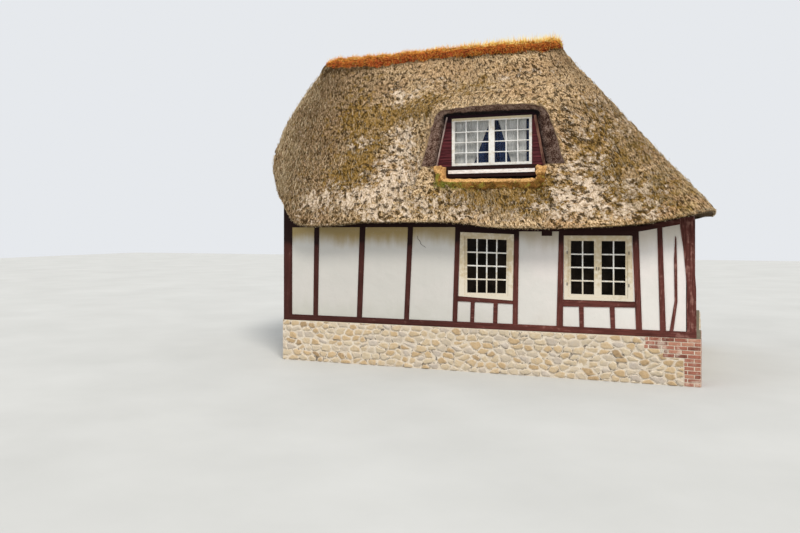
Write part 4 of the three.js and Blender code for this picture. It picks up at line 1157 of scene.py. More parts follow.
def bolster_tufts():
    """Blades on the bolster's front. At its lower left they are long, green and grassy."""
    draw = np.random.default_rng(99)
    count = BOLSTER_TUFTS
    x = draw.uniform(-5.05, -2.80, count)
    z = draw.uniform(3.61, 3.80, count)
    green = draw.uniform(0, 1, count) < smoothstep(x, -4.2, -4.8) * 0.9 + 0.05
    roots = join(x, BOLSTER_FRONT + 0.02, z)
    out = unit(join(draw.normal(0, 0.5, count), -1, draw.normal(-0.15, 0.45, count)))
    length = np.where(green, draw.uniform(0.05, 0.11, count), draw.uniform(0.02, 0.05, count))
    tone = np.where(green, draw.uniform(0.55, 1.0, count), draw.uniform(0.0, 0.5, count))
    spikes("bolster_moss", "cut_straw", roots, roots + out * length[:, None],
           draw.uniform(0.005, 0.011, count), finish("moss_blades", paint_blades, roughness=0.85), tone)


bolster_tufts()

# %% [markdown]
# ## Walls
#
# The panels between the timbers are lime plaster on laths, limewashed off-white. Years of drips
# have stained them yellow-brown under the eave and grey-green near the sill, and the trowel left
# broad shallow waves. Painted shade deepens the band under the eave and greys the plaster towards
# the left end. The construction model already has the panels, so only their finish changes:
# `dress` hangs a material on a node of the frame.

# %% Plaster
PLASTER = (0.700, 0.670, 0.625)
PLASTER_WARM = (0.750, 0.695, 0.655)
PLASTER_GREY = (0.500, 0.485, 0.445)
EAVE_STAIN_AND_SHADE = (0.330, 0.235, 0.085)
SILL_STAIN = (0.400, 0.400, 0.330)
TIMBER_BLACK = (0.018, 0.007, 0.006)
CRACK_X, _, CRACK_Z = spot(-5.33, 0, 2.58)
CRACK_ALONG = (0.58, -0.81)  # the way it runs, as shares of x and z


def dress(material, *names):
    """Hangs a material on nodes of the frame."""
    for name in names:
        for slot in nodes[name].material_slots:
            slot.material = material
    print(material.name, "on", len(names), "nodes")


def paint_plaster(place):
    """Limewash with warm and grey clouds, drips from the eave, splashes above the sill, a stain
    and painted shade under the eave, and painted shade towards the left end.
    """
    height = place.part("z")
    clouds = place.noise(1.1, 4.0)
    drips = place.scaled(5, 5, 0.7).noise(1.0, 4.0)
    grain = place.noise(60.0, 4.0, roughness=0.7)
    colour = blend(clouds.step(0.40, 0.62), PLASTER, PLASTER_WARM)
    colour = blend((drips + clouds * 0.4).step(0.66, 0.95) * 0.15, colour, PLASTER_GREY)
    # painted shade: the plaster greys towards the left end; the same mask makes the stains there stronger
    leftward = place.part("x").step(4.0, -1.5)
    colour = blend(leftward * 0.75, colour, PLASTER_GREY)
    # stain and painted shade: a yellow-brown band under the eave, stronger towards the left end
    eave = (height + drips * 0.36 + clouds * 0.44 - 0.40).step(2.42, 2.78) * (0.30 + 0.62 * leftward)
    colour = blend(eave.clamp() * height.step(3.05, 2.92), colour, EAVE_STAIN_AND_SHADE)
    sill = (height + drips * 0.5 - 0.25).step(1.45, 0.95) * (0.12 + 0.35 * leftward) * clouds.step(0.3, 0.6)
    colour = blend(sill.clamp(), colour, SILL_STAIN)
    specks = place.noise(27.0, 2.0).step(0.69, 0.74)
    colour = blend(specks * 0.35, colour, PLASTER_GREY)
    right, up = place.part("x") - CRACK_X, height - CRACK_Z
    run = right * CRACK_ALONG[0] + up * CRACK_ALONG[1]
    off = right * -CRACK_ALONG[1] + up * CRACK_ALONG[0] + place.noise(7.0, 4.0) * 0.14 - 0.07
    crack = off.math("ABSOLUTE").step(0.009, 0.004) * run.math("ABSOLUTE").step(0.17, 0.13)
    colour = blend(crack * 0.75, colour, TIMBER_BLACK)
    return colour, place.noise(2.3, 3.0) * 0.9 + grain * 0.14 - crack * 0.1, 0.022


dress(finish("limewashed_plaster", paint_plaster, roughness=0.92),
      "front_wall", "back_wall", "left_wall", "right_wall")

# %% [markdown]
# The oak frame is painted oxblood red and rubbed pale on its knots and arrises. Painted shade makes it
# almost black under the eave and darker towards the left end. Paint on oak still shows the grain, so
# the noise is drawn out along each timber: one finish for upright pieces and for the frames at the
# sides and back, which are mostly posts, and one for level pieces.

# %% Oxblood timber
TIMBER_DEEP = (0.060, 0.019, 0.014)
TIMBER_RED = (0.135, 0.040, 0.032)
TIMBER_WORN = (0.300, 0.150, 0.120)


def timber(name, stretch):
    """Oxblood paint on oak. stretch holds the noise's scale along x, y and z."""
    def paint(place):
        grain = place.scaled(*stretch).noise(1.0, 5.0, roughness=0.65, distortion=0.6)
        broad = place.noise(2.2, 3.0)
        colour = ramp(grain * 0.7 + broad * 0.3, (0.36, TIMBER_DEEP), (0.60, TIMBER_RED))
        corner = place.part("x").step(3.7, 4.4)
        worn = (grain * 0.6 + place.noise(9.0, 3.0) * 0.6 + corner * 0.09).step(0.67, 0.82)
        colour = blend(worn * 0.7, colour, TIMBER_WORN)
        # painted shade: almost black under the eave, and darker towards the left end
        painted_eave_shade = (place.part("z") + broad * 0.3).step(2.60, 2.84) * place.part("x").step(4.7, 3.4)
        colour = blend((painted_eave_shade * 0.92 + place.part("x").step(2.0, -1.5) * 0.58).clamp(), colour, TIMBER_BLACK)
        return colour, grain, 0.012, 0.80 - grain * 0.25
    return finish(name, paint)


dress(timber("oxblood_upright", (34, 34, 2.6)), *(name for name in nodes if "_post_" in name),
      "corner_stud", "crooked_strut", "left_timber_frame", "right_timber_frame", "back_timber_frame")
dress(timber("oxblood_level", (2.6, 34, 34)), "front_sill_beam", "front_wall_plate", "left_window_rail",
      "right_window_rail", "window_box")

# %% [markdown]
# Windows are gloss-painted softwood, cream downstairs and white in the dormer, which dirt has
# dulled in every hollow. Floors are bare boards and the step is worn limestone. The construction
# model has their forms, and noise in three sizes is enough to tell brushed paint, board and stone
# apart.

# %% Painted windows, floors and step
CREAM = (0.530, 0.430, 0.270)
CREAM_PALE = (0.670, 0.600, 0.480)
FRAME_DIRT = (0.400, 0.320, 0.180)
WHITE_PAINT = (0.800, 0.780, 0.730)
HEAD_YELLOW = (0.560, 0.430, 0.190)
BOARD_LIGHT = (0.330, 0.235, 0.150)
BOARD_DARK = (0.150, 0.095, 0.055)
STEP_LIGHT = (0.480, 0.450, 0.390)
STEP_DARK = (0.250, 0.235, 0.200)
FLOOR_BOARD = 0.14


def joinery(name, first, second):
    """Gloss paint on softwood, brushed along and dirty in its hollows."""
    def paint(place):
        brush = place.scaled(14, 14, 14).noise(1.0, 4.0)
        dirt = (place.noise(3.2, 4.0) * 0.6 + place.noise(24.0, 3.0) * 0.4).step(0.52, 0.68)
        colour = blend((brush + place.part("z").step(2.2, 1.5) * 0.35).step(0.42, 0.75), first, second)
        colour = blend((place.part("z") + brush * 0.03).step(5.09, 5.11) * 0.7, colour, HEAD_YELLOW)
        colour = blend(dirt * 0.38, colour, FRAME_DIRT)
        return colour, place.noise(70.0, 3.0) + brush, 0.003, 0.42 + dirt * 0.3
    return finish(name, paint, shine=0.3)


def paint_boards(place):
    """Floor boards along x: the joints are dark lines where y runs through a whole board."""
    across = (place.part("y") * (1 / FLOOR_BOARD)).math("FRACT")
    joint = across.step(0.05, 0.0) + across.step(0.95, 1.0)
    grain = place.scaled(2, 30, 30).noise(1.0, 5.0)
    colour = ramp(grain, (0.35, BOARD_DARK), (0.65, BOARD_LIGHT))
    return blend(joint.clamp() * 0.8, colour, TIMBER_BLACK), grain - joint, 0.004


def paint_step(place):
    """Worn limestone: grey clouds with pitted grain."""
    clouds, grain = place.noise(6.0, 4.0), place.noise(70.0, 4.0)
    colour = ramp(clouds * 0.6 + grain * 0.4, (0.38, STEP_DARK), (0.62, STEP_LIGHT))
    return colour, grain + clouds, 0.012


dress(joinery("cream_joinery", CREAM, CREAM_PALE), "left_window_frame", "left_window_sash",
      "right_window_frame", "right_window_casement_left", "right_window_casement_right",
      "back_window_frame", "back_door_frame")
dress(joinery("white_joinery", WHITE_PAINT, CREAM_PALE),
      "dormer_window_frame", "dormer_casement_left", "dormer_casement_right")
dress(finish("floor_boards", paint_boards, roughness=0.7), "ground_floor", "loft_floor")
dress(finish("worn_step", paint_step, roughness=0.9), "doorstep")

# %% [markdown]
# Old panes are a little wavy, and behind the ground-floor ones the room is dark. A dark glossy
# sheet that lets a little light through reads as that. The dormer's glass is clearer, because its
# net curtains show.

# %% Glass
GLASS_DARK = (0.003, 0.002, 0.001)
GLASS_SHADE_BROWN = (0.013, 0.009, 0.006)


def glass(name, opacity, level):
    """Wavy glass, with its opacity and how strongly it shines."""
    def paint(place):
        ripple = place.noise(7.0, 2.0)
        return ramp(place.noise(4.0, 4.0), (0.4, GLASS_DARK), (0.75, GLASS_SHADE_BROWN)), ripple, 0.003
    return finish(name, paint, roughness=0.06, shine=level, Alpha=opacity)


# painted shade: nearly opaque dark glass stands for the unlit room behind it
dress(glass("ground_floor_glass", 0.96, 0.04),
      "left_window_glass", "right_window_glass", "back_window_glass")
dress(glass("dormer_glass_clear", 0.16, 0.4), "dormer_glass")

# %% [markdown]
# ## Glazing bars
#
# Each window is divided by slim bars into small panes. A bar is a rectangle carried between two
# points of the window's plane, so one function takes all the bars of a window at once: it places
# them by shares of the opening's sides, which follows the racked left window as well as the
# square ones.

# %% Bars between opposite sides
BLOCK_FACES = [(0, 1, 2, 3), (7, 6, 5, 4), (0, 4, 5, 1), (1, 5, 6, 2), (2, 6, 7, 3), (3, 7, 4, 0)]
BAR_SUNK = 0.004  # how far a bar's ends run into the frame
BAR_TAPER = 0.45  # a bar's front is this share of its width
CROSS_BEHIND = 0.0015  # level bars lie this far behind upright ones
WHITE_BARS = (0.880, 0.870, 0.840)
PALE_BARS = (0.860, 0.840, 0.790)


def blocks(name, front, back, material, slot):
    """Many six-sided bodies in one piece. front and back hold each one's four corners."""
    points = np.concatenate([front, back], axis=1)
    faces = repeated(BLOCK_FACES, 8, len(points))
    settle(closed(piece(name, points + ORIGIN, faces, material, smooth=False)), slot)


def between(first, last, count):
    """The points that cut the way between two corners into count even parts."""
    return first + (last - first) * (np.arange(1, count)[:, None] / count)


def bars(name, corners, columns, rows, front, back, width, material, slot):
    """Glazing bars of an opening. corners are its x and z from bottom left anticlockwise. A bar's
    two ends are the same share along opposite sides, and it narrows towards the front."""
    low_left, low_right, high_right, high_left = np.array(corners, float)
    start = np.concatenate([between(low_left, low_right, columns), between(low_left, high_left, rows)])
    end = np.concatenate([between(high_left, high_right, columns), between(low_right, high_right, rows)])
    along = unit(end - start)
    side = along[:, ::-1] * (-1, 1) * width / 2
    start, end = start - along * BAR_SUNK, end + along * BAR_SUNK
    level = (np.arange(len(start)) >= columns - 1)[:, None]
    behind = np.sign(back - front) * CROSS_BEHIND * level
    wide, slim = (np.stack([start - half, end - half, end + half, start + half], 1)
                  for half in (side, side * BAR_TAPER))
    blocks(name, raised(slim, front + behind), raised(wide, back), material, slot)


WHITE_FINISH = joinery("white_bars", WHITE_BARS, WHITE_PAINT)
PALE_FINISH = joinery("pale_bars", PALE_BARS, CREAM_PALE)
LEFT_PANE = [(-4.351, 1.576), (-3.559, 1.582), (-3.542, 2.634), (-4.351, 2.658)]


def upright_pane(left, right, bottom, top):
    """The corners of a square opening, from bottom left anticlockwise."""
    return [(left, bottom), (right, bottom), (right, top), (left, top)]


bars("left_window_bars", LEFT_PANE, 4, 4, 0.004, 0.0215, 0.030, PALE_FINISH, "cream_paint")
for name, left, right in (("left", -2.302, -1.866), ("right", -1.732, -1.297)):
    bars(f"right_window_bars_{name}", upright_pane(left, right, 1.609, 2.622), 2, 4,
         0.006, 0.044, 0.030, PALE_FINISH, "cream_paint")
for name, left, right in (("left", -4.748, -4.024), ("right", -3.905, -3.192)):
    bars(f"dormer_bars_{name}", upright_pane(left, right, 4.205, 5.064), 3, 4,
         0.452, 0.490, 0.026, WHITE_FINISH, "white_paint")
bars("back_window_bars", upright_pane(-7.487, -6.663, 1.610, 2.530), 4, 4,
     5.298, 5.2785, 0.030, PALE_FINISH, "cream_paint")

# %% [markdown]
# ## Plinth
#
# The frame stands on rubble bedded in lime, with a corner of hand-made brick. Bricks are the
# simplest repeated shape there is, but a plain box betrays itself by its perfect faces. Each
# brick here is a small cushion: a grid whose rim is pushed back into the joint, whose arris is
# rounded and whose face is a little uneven. All of them are worked out in one array.

# %% Sizes and finishes of brick and mortar
COURSE = 0.0725
JOINT = 0.013
BRICK_LENGTH = 0.212
BRICK_PROUD = 0.007
BRICK_ARRIS = 0.004  # how far its rounded arris lies behind its face
BRICK_DEEP = 0.012  # how deep its rim goes into the joint
BRICK_ALONG = np.array([0, 0, 0.03, 0.12, 0.3, 0.5, 0.7, 0.88, 0.97, 1, 1])  # shares of its length
BRICK_UP = np.array([0, 0, 0.10, 0.35, 0.65, 0.90, 1, 1])  # and of its height
SHORTEST_BRICK = 0.035
PLINTH_TOP = 0.87
PLINTH_FRONT = -0.03
PLINTH_LEFT = -8.525
PLINTH_BACK = 5.33
MORTAR = (0.590, 0.490, 0.370)
MORTAR_PALE = (0.740, 0.660, 0.545)
BRICK_DARK = (0.115, 0.040, 0.028)
BRICK_RED = (0.335, 0.130, 0.088)
BRICK_PALE = (0.520, 0.290, 0.195)
LEDGE_MOSS = (0.110, 0.100, 0.060)


def paint_brick(place):
    """Each brick its own red, clouded, dusted with lime and pitted."""
    clouds, grain = place.noise(13.0, 4.0), place.noise(95.0, 3.0, roughness=0.7)
    tone = place.attribute("tone") * 0.62 + clouds * 0.45 + grain * 0.16 - 0.10
    colour = ramp(tone, (0.12, BRICK_DARK), (0.48, BRICK_RED), (0.95, BRICK_PALE))
    lime = (place.noise(5.0, 4.0) + grain * 0.4).step(0.72, 0.90)
    return blend(lime * 0.45, colour, MORTAR_PALE), clouds + grain * 0.7, 0.006


def paint_mortar(place):
    """Lime mortar, sandy and stained, with dark moss on the ledge along its top."""
    clouds, grain = place.noise(6.0, 4.0), place.noise(120.0, 3.0, roughness=0.7)
    colour = ramp(clouds * 0.6 + grain * 0.4, (0.36, MORTAR), (0.62, MORTAR_PALE))
    ledge = place.part("z").step(PLINTH_TOP - 0.006, PLINTH_TOP - 0.001)
    return blend(ledge * 0.85, colour, LEDGE_MOSS), clouds + grain, 0.008


mortar_finish = finish("lime_mortar", paint_mortar, roughness=0.95)
brick_finish = finish("hand_made_brick", paint_brick, roughness=0.9)
print("brick", BRICK_LENGTH, "by", COURSE - JOINT, "m")

# %% Bricks
def on_face(face, s, t, depth):
    """Points on a wall's face, which is an origin, the way along and the way out: s along it, t
    above the ground and a depth out of it."""
    origin, along, out = np.array(face, float)
    return origin + along * s[..., None] + (0, 0, 1) * t[..., None] + out * depth[..., None] + ORIGIN


def rank(start, stop, shift):
    """Where the bricks of one course start and stop: whole ones from a shifted start, trimmed at
    both ends of the course."""
    edges = np.arange(start - shift, stop + BRICK_LENGTH, BRICK_LENGTH + JOINT)
    low, high = np.maximum(edges, start), np.minimum(edges + BRICK_LENGTH, stop)
    keep = high - low > SHORTEST_BRICK
    return low[keep], high[keep]


def brickwork(name, face, extents, seed):
    """Bricks on a face. extents gives, course by course from the top, how far the course runs
    from the corner. A point of a brick is its corner plus shares of its length and height, and
    its depth is the joint's at the rim, then an arris's, then the uneven face's."""
    draw = np.random.default_rng(seed)
    low, high, top = [], [], []
    for course, extent in enumerate(extents):
        first, last = rank(0.004, extent, (course % 2) * (BRICK_LENGTH + JOINT) / 2)
        low.append(first + draw.uniform(0, 0.004, len(first)))
        high.append(last + draw.uniform(-0.004, 0.004, len(last)))
        top.append(np.full(len(first), PLINTH_TOP - course * COURSE - JOINT / 2))
    low, high, top = (np.concatenate(values)[:, None, None] for values in (low, high, top))
    rows, columns, count = BRICK_UP.size, BRICK_ALONG.size, len(low)
    away = np.maximum(abs(np.linspace(-1, 1, columns)), abs(np.linspace(-1, 1, rows))[:, None])
    rim, arris = away > 0.99, away > 0.7
    shape = count, rows, columns
    s = low + (high - low) * BRICK_ALONG + draw.normal(0, 0.0008, shape)
    z = top - (COURSE - JOINT) * (1 - BRICK_UP[:, None]) + draw.normal(0, 0.0008, shape)
    depth = np.where(rim, -BRICK_DEEP, np.where(arris, BRICK_PROUD - BRICK_ARRIS, BRICK_PROUD))
    depth = depth + np.where(rim, 0, draw.normal(0, 0.0012, shape)) + draw.normal(0, 0.001, low.shape)
    tone = np.repeat(np.clip(draw.normal(0.5, 0.24, count), 0, 1), rows * columns)
    faces = repeated(grid_faces(rows, columns), rows * columns, count)
    made = piece(name, on_face(face, s, z, depth), faces, brick_finish, smooth=False, tone=tone)
    settle(closed(made, fill=True), "brick")


LEFTWARD, RIGHTWARD, FORWARD, BACKWARD = (-1, 0, 0), (1, 0, 0), (0, -1, 0), (0, 1, 0)
BRICK_CORNER = (PLINTH_RIGHT, PLINTH_FRONT, 0)
FRONT_FACE = (BRICK_CORNER, LEFTWARD, FORWARD)
QUOIN = 0.28  # width of the brick corner's lower courses in front
SIDE_QUOIN = 0.68
FRONT_EXTENTS = [0.965, 0.955, 0.975, 0.63, 0.64, *[QUOIN] * 7]
SIDE_EXTENTS = [1.36, 1.355, 1.36, 1.03, 1.025, *[SIDE_QUOIN] * 7]
dress(mortar_finish, "brick_corner")
brickwork("bricks_front", FRONT_FACE, FRONT_EXTENTS, 111)
brickwork("bricks_side", (BRICK_CORNER, BACKWARD, RIGHTWARD), SIDE_EXTENTS, 112)

# %% [markdown]
# Rubble has no courses. Its stones fill the wall the way cells fill a plane when every point
# belongs to its nearest seed. So the wall's face is one grid, and each of its points looks up the
# two nearest of the scattered seeds: where they are equally near lies a joint, and away from it
# the stone swells out of the mortar.

# %% Finish of the rubble
RUBBLE_TONES = ((0.0, (0.170, 0.110, 0.060)), (0.18, (0.390, 0.270, 0.150)), (0.35, (0.540, 0.390, 0.225)),
                (0.55, (0.580, 0.480, 0.340)), (0.75, (0.500, 0.430, 0.360)), (1.0, (0.740, 0.650, 0.540)))


def paint_rubble(place):
    """Beige, ochre and grey stones, each its own tone, in paler mortar, with dark hollows."""
    clouds, grain = place.noise(16.0, 4.0), place.noise(80.0, 4.0, roughness=0.7)
    stone = ramp(place.attribute("tone") * 0.8 + clouds * 0.35 + grain * 0.15 - 0.14, *RUBBLE_TONES)
    mortar = ramp(clouds, (0.4, MORTAR), (0.6, MORTAR_PALE))
    colour = blend((place.attribute("joint") + grain * 0.3 - 0.15).clamp(), stone, mortar)
    hollow = (place.attribute("joint") * 0.5 + place.noise(11.0, 3.0)).step(0.90, 1.02)
    return blend(hollow * 0.7, colour, TIMBER_BLACK), clouds + grain, 0.010


rubble_finish = finish("rubble_in_lime", paint_rubble, roughness=0.95)
print("rubble finish of", len(RUBBLE_TONES), "tones")

# %% Rubble
STONE_WIDE = 0.205
STONE_HIGH = 0.125
STONE_PROUD = 0.030
STONE_ROUND = 2.6  # 2 gives oval stones, and more gives squarer ones
BEHIND_FACE = -0.03  # depth of the rubble's rim and of what the bricks hide


def nearest_two(s, t, seed):
    """Distances to the nearest two seeds, the nearest one's random values and the way from it. Seeds
    lie one to a cell of a lattice, shifted at random, so a point's nearest are within two cells."""
    table = np.random.default_rng(seed).uniform(0, 1, (NOISE_VALUES, 3))
    cell_s, cell_t = np.floor(s / STONE_WIDE).astype(int), np.floor(t / STONE_HIGH).astype(int)
    first = np.full(s.shape, 9.0)
    second, number = first.copy(), np.zeros(s.shape, int)
    way = np.zeros((*s.shape, 2))
    for ds, dt in np.ndindex(5, 5):
        row = cell_t + dt - 2
        column = cell_s + ds - 2
        key = (column * NOISE_KEYS[0] + row * NOISE_KEYS[1]) % NOISE_VALUES
        gap_s = s / STONE_WIDE - (column + 0.5 * (row % 2) + table[key, 0] * 0.8)
        gap_t = t / STONE_HIGH - (row + 0.1 + table[key, 1] * 0.7)
        reach = (abs(gap_s) ** STONE_ROUND + abs(gap_t) ** STONE_ROUND) ** (1 / STONE_ROUND)
        nearer = reach < first
        second = np.where(nearer, first, np.minimum(second, reach))
        number = np.where(nearer, key, number)
        way = np.where(nearer[..., None], join(gap_s, gap_t), way)
        first = np.where(nearer, reach, first)
    return first, second, table[number], way


def rubble(name, face, length, step, seed, bricked=()):
    """A wall's face as a grid: its depth is the stone's swell where the second nearest seed is
    clearly further than the nearest, plus each stone's own tilt, plus noise. bricked lists the
    steps of the brick corner, as a distance from one end and the height above which it starts."""
    columns, rows = round(length / step) + 1, round(PLINTH_TOP / step) + 1
    s, t = np.meshgrid(np.linspace(0, length, columns), np.linspace(0, PLINTH_TOP - 0.004, rows))
    flat = join(s, t, 0)
    bent_s = s + rough(flat, 0.12, seed) * 0.018
    bent_t = t + rough(flat, 0.12, seed + 5) * 0.014
    first, second, stone, way = nearest_two(bent_s, bent_t, seed)
    swell = smoothstep(second - first, 0.05, 0.34)
    tilt = (way * (stone[..., :2] - 0.5)).sum(-1) * 0.022
    depth = swell * (STONE_PROUD * (0.45 + 0.55 * stone[..., 2]) + tilt - first * 0.008) - 0.002
    depth += rough(flat, 0.05, seed + 9) * 0.0035
    hidden = np.ones(s.shape, bool)
    hidden[1:-1, 1:-1] = False
    for reach, above in bricked:
        hidden |= (s < reach) & (t > above)
    depth = np.where(hidden, BEHIND_FACE, depth)
    made = piece(name, on_face(face, s, t, depth), grid_faces(rows, columns), rubble_finish,
                 tone=stone[..., 0] * 0.5 + stone[..., 1] * 0.5, joint=1 - swell)
    settle(closed(made, fill=True), "rubble")


dress(mortar_finish, "plinth_front", "plinth_back", "plinth_left", "plinth_right")
RUBBLE_RIGHT = -0.02  # the rubble stands back from the brick
FRONT_STEPS = [(QUOIN + 0.01, -1), (0.64, 0.505), (0.97, 0.65)]
SIDE_STEPS = [(0.685, -1), (1.035, 0.505), (1.365, 0.65)]
PLINTH_DEEP = PLINTH_BACK - PLINTH_FRONT
RIGHT_FACE = ((RUBBLE_RIGHT, PLINTH_FRONT, 0), BACKWARD, RIGHTWARD)
BACK_FACE = ((RUBBLE_RIGHT, PLINTH_BACK, 0), LEFTWARD, BACKWARD)
LEFT_FACE = ((PLINTH_LEFT, PLINTH_FRONT, 0), BACKWARD, LEFTWARD)
FINE, COARSE = 0.0125, 0.016  # the grid's step in front and on the other sides
rubble("rubble_front", FRONT_FACE, PLINTH_RIGHT - PLINTH_LEFT, FINE, 121, FRONT_STEPS)
rubble("rubble_right", RIGHT_FACE, PLINTH_DEEP, COARSE, 122, SIDE_STEPS)
rubble("rubble_back", BACK_FACE, RUBBLE_RIGHT - PLINTH_LEFT, COARSE, 123)
rubble("rubble_left", LEFT_FACE, PLINTH_DEEP, COARSE, 124)

# %% [markdown]
# ## The dormer's face, the door and small parts
#
# The dormer's cheeks are clad with narrow lap boards, each sloping forward to its lower edge so
# that it sheds rain onto the next. Trims cover their ends along the reed. A flat white board
# faces the flower box. All of these are six-sided bodies, so they come from the same function
# as the glazing bars, once their corners are worked out.

# %% Lap boards, trims and the box's face
LAP = 0.0705
BOARD_FOOT = 4.131
BOARDS = 14
BOARD_GAP = 0.003
BOARD_DEPTHS = np.array([0.436, 0.436, 0.4485, 0.4485])  # proud at the lower edge
BOARD_BACK = 0.452
CHEEK_LEFT = np.array([(-5.149, 4.13), (-4.915, 5.20)])
CHEEK_RIGHT = np.array([(-2.856, 4.11), (-3.050, 5.18)])
WINDOW_SIDES = (-4.803, -3.137)
FACE_SHADE = (0.010, 0.004, 0.008)


def lap_boards(name, cheek, side, material):
    """Boards between the reed, along the cheek's slanting line, and the window's upright side."""
    low = BOARD_FOOT + LAP * np.arange(BOARDS)
    high = low + LAP - BOARD_GAP
    low_x, high_x = (np.interp(z, cheek[:, 1], cheek[:, 0]) for z in (low, high))
    corners = np.stack([join(low_x, low), join(side, low), join(side, high), join(high_x, high)], 1)
    blocks(name, raised(corners, BOARD_DEPTHS), raised(corners, BOARD_BACK), material, "timber")


def strip(low, high, width, front, back, name, material, slot):
    """A narrow board between two points (x, z)."""
    low, high = np.array(low, float), np.array(high, float)
    side = unit(high - low)[::-1] * (-1, 1) * width / 2
    corners = np.array([[low - side, low + side, high + side, high - side]])
    blocks(name, raised(corners, front), raised(corners, back), material, slot)


def painted(name, dark, light, scale=(12, 12, 12), shine=0.1):
    """Plain paint, streaky where scale stretches its noise."""
    def paint(place):
        streaks = place.scaled(*scale)
        colour = ramp(streaks.noise(1.0, 4.0), (0.36, dark), (0.62, light))
        return colour, streaks.noise(2.0, 3.0), 0.002
    return finish(name, paint, roughness=0.6, shine=shine)


CHEEK_DARK = (0.040, 0.008, 0.010)
CHEEK_RED = (0.110, 0.022, 0.026)


def paint_cheek(place):
    """Red paint along the boards, in deep shade under the reed."""
    colour = ramp(place.scaled(3, 40, 40).noise(1.0, 4.0), (0.36, CHEEK_DARK), (0.62, CHEEK_RED))
    shaded = blend(place.part("z").step(5.02, 5.10) * 0.9, colour, FACE_SHADE)
    return shaded, place.scaled(6, 80, 80).noise(1.0, 3.0), 0.002


CHEEK_PAINT = finish("cheek_boards", paint_cheek, roughness=0.6, shine=0.1)
TRIM_PALE = painted("weathered_trim", (0.300, 0.200, 0.170), (0.560, 0.440, 0.390), (24, 24, 5))
TRIM_BROWN = painted("brown_trim", (0.080, 0.036, 0.026), (0.260, 0.130, 0.090), (24, 24, 5))
BOX_WHITE = painted("white_box_board", (0.640, 0.560, 0.500), (0.860, 0.830, 0.800), (9, 9, 30))
dress(CHEEK_PAINT, "dormer_boards")
lap_boards("lap_boards_left", CHEEK_LEFT, WINDOW_SIDES[0], CHEEK_PAINT)
lap_boards("lap_boards_right", CHEEK_RIGHT, WINDOW_SIDES[1], CHEEK_PAINT)
strip((-5.138, 4.13), (-4.908, 5.17), 0.024, 0.418, 0.450, "left_trim", TRIM_PALE, "timber")
strip((-2.895, 4.12), (-3.082, 5.12), 0.030, 0.424, 0.450, "right_trim_inner", TRIM_BROWN, "timber")
strip((-2.868, 4.12), (-3.055, 5.12), 0.020, 0.414, 0.450, "right_trim_outer", TRIM_BROWN, "timber")
strip((-4.812, 4.010), (-3.031, 4.010), 0.072, 0.206, 0.221, "box_front_board", BOX_WHITE, "white_paint")

# %% [markdown]
# The casements hang on small iron hinges and close with latches, and the back door is a row of
# planks on two iron straps with a handle. All of them are thin and flat, so bodies with square
# corners are enough, each given by its left, right, bottom, top, front and back.

# %% Small parts of the ground floor windows and the door
IRON = painted("window_iron", (0.060, 0.055, 0.050), (0.170, 0.160, 0.145), shine=0.4)
DOOR_PAINT = painted("door_planks", (0.040, 0.012, 0.010), (0.125, 0.036, 0.028), (34, 34, 2.6))
DOOR_LEFT, DOOR_RIGHT, DOOR_FOOT, DOOR_HEAD = -4.144, -3.356, 0.404, 2.336


def plates(name, boxes, material, slot):
    """Small flat bodies, each given as left, right, bottom, top, front and back."""
    left, right, bottom, top, front, back = np.array(boxes, float).T
    corners = np.stack([join(*corner) for corner in upright_pane(left, right, bottom, top)], 1)
    blocks(name, raised(corners, front[:, None]), raised(corners, back[:, None]), material, slot)


hinges = [(x - 0.009, x + 0.009, z - 0.028, z + 0.028, -0.026, -0.019)
          for x in (-2.366, -1.232) for z in (1.80, 2.40)]
latches = [(x - 0.007, x + 0.007, 2.07, 2.13, -0.008, 0.001) for x in (-1.822, -1.778)]
plates("casement_hinges", hinges + latches, IRON, "timber")
PLANKS = 6
PLANK = (DOOR_RIGHT - DOOR_LEFT) / PLANKS
planks = [(DOOR_LEFT + PLANK * k + 0.002, DOOR_LEFT + PLANK * (k + 1) - 0.002,
           DOOR_FOOT, DOOR_HEAD, 5.2935, 5.2845) for k in range(PLANKS)]
plates("door_planks", planks, DOOR_PAINT, "timber")
straps = [(DOOR_LEFT + 0.02, DOOR_RIGHT - 0.16, z - 0.022, z + 0.022, 5.2985, 5.2930)
          for z in (0.72, 2.02)]
handle = [(DOOR_RIGHT - 0.09, DOOR_RIGHT - 0.05, 1.32, 1.50, 5.2985, 5.2930),
          (DOOR_RIGHT - 0.08, DOOR_RIGHT - 0.06, 1.36, 1.46, 5.3190, 5.2980)]
plates("door_irons", straps + handle, IRON, "timber")
dress(DOOR_PAINT, "back_door")

# %% [markdown]
# ## Curtains
#
# Two nets hang behind the dormer's window, drawn aside so that they narrow downwards, and a dark
# blue drape hangs behind them. A curtain is cloth cut to one width all the way down. Where it has
# less room, it folds more deeply. So for each row of the grid the depth of the folds is looked up
# that makes the row, measured along its folds, as long as the cloth is wide.

# %% Finishes of the cloth
NET_GREY = (0.640, 0.640, 0.610)
NET_WHITE = (0.960, 0.960, 0.930)
DRAPE_DARK = (0.009, 0.016, 0.055)
DRAPE_BLUE = (0.042, 0.078, 0.190)


def paint_net(place):
    """Thin white cotton, a little grey in its folds, with a fine woven grain."""
    cloth = place.attribute("cloth", out=1)
    weave = cloth.scaled(900, 900, 1).noise(1.0, 1.0)
    tone = place.noise(5.0, 3.0) * 0.6 + cloth.scaled(30, 2, 1).noise(1.0, 3.0) * 0.4
    return ramp(tone + weave * 0.1 - 0.05, (0.35, NET_GREY), (0.60, NET_WHITE)), weave, 0.0004


def paint_drape(place):
    """Dark blue cotton with a slight bloom along its folds."""
    cloth = place.attribute("cloth", out=1)
    weave = cloth.scaled(700, 700, 1).noise(1.0, 1.0)
    tone = cloth.scaled(20, 2, 1).noise(1.0, 3.0) + weave * 0.1 - 0.05
    return ramp(tone, (0.35, DRAPE_DARK), (0.65, DRAPE_BLUE)), weave, 0.0005


net = finish("net_curtain", paint_net, roughness=0.9, Alpha=0.94)
drape = finish("blue_drape_cotton", paint_drape, roughness=0.9)
print("cloth finishes ready")

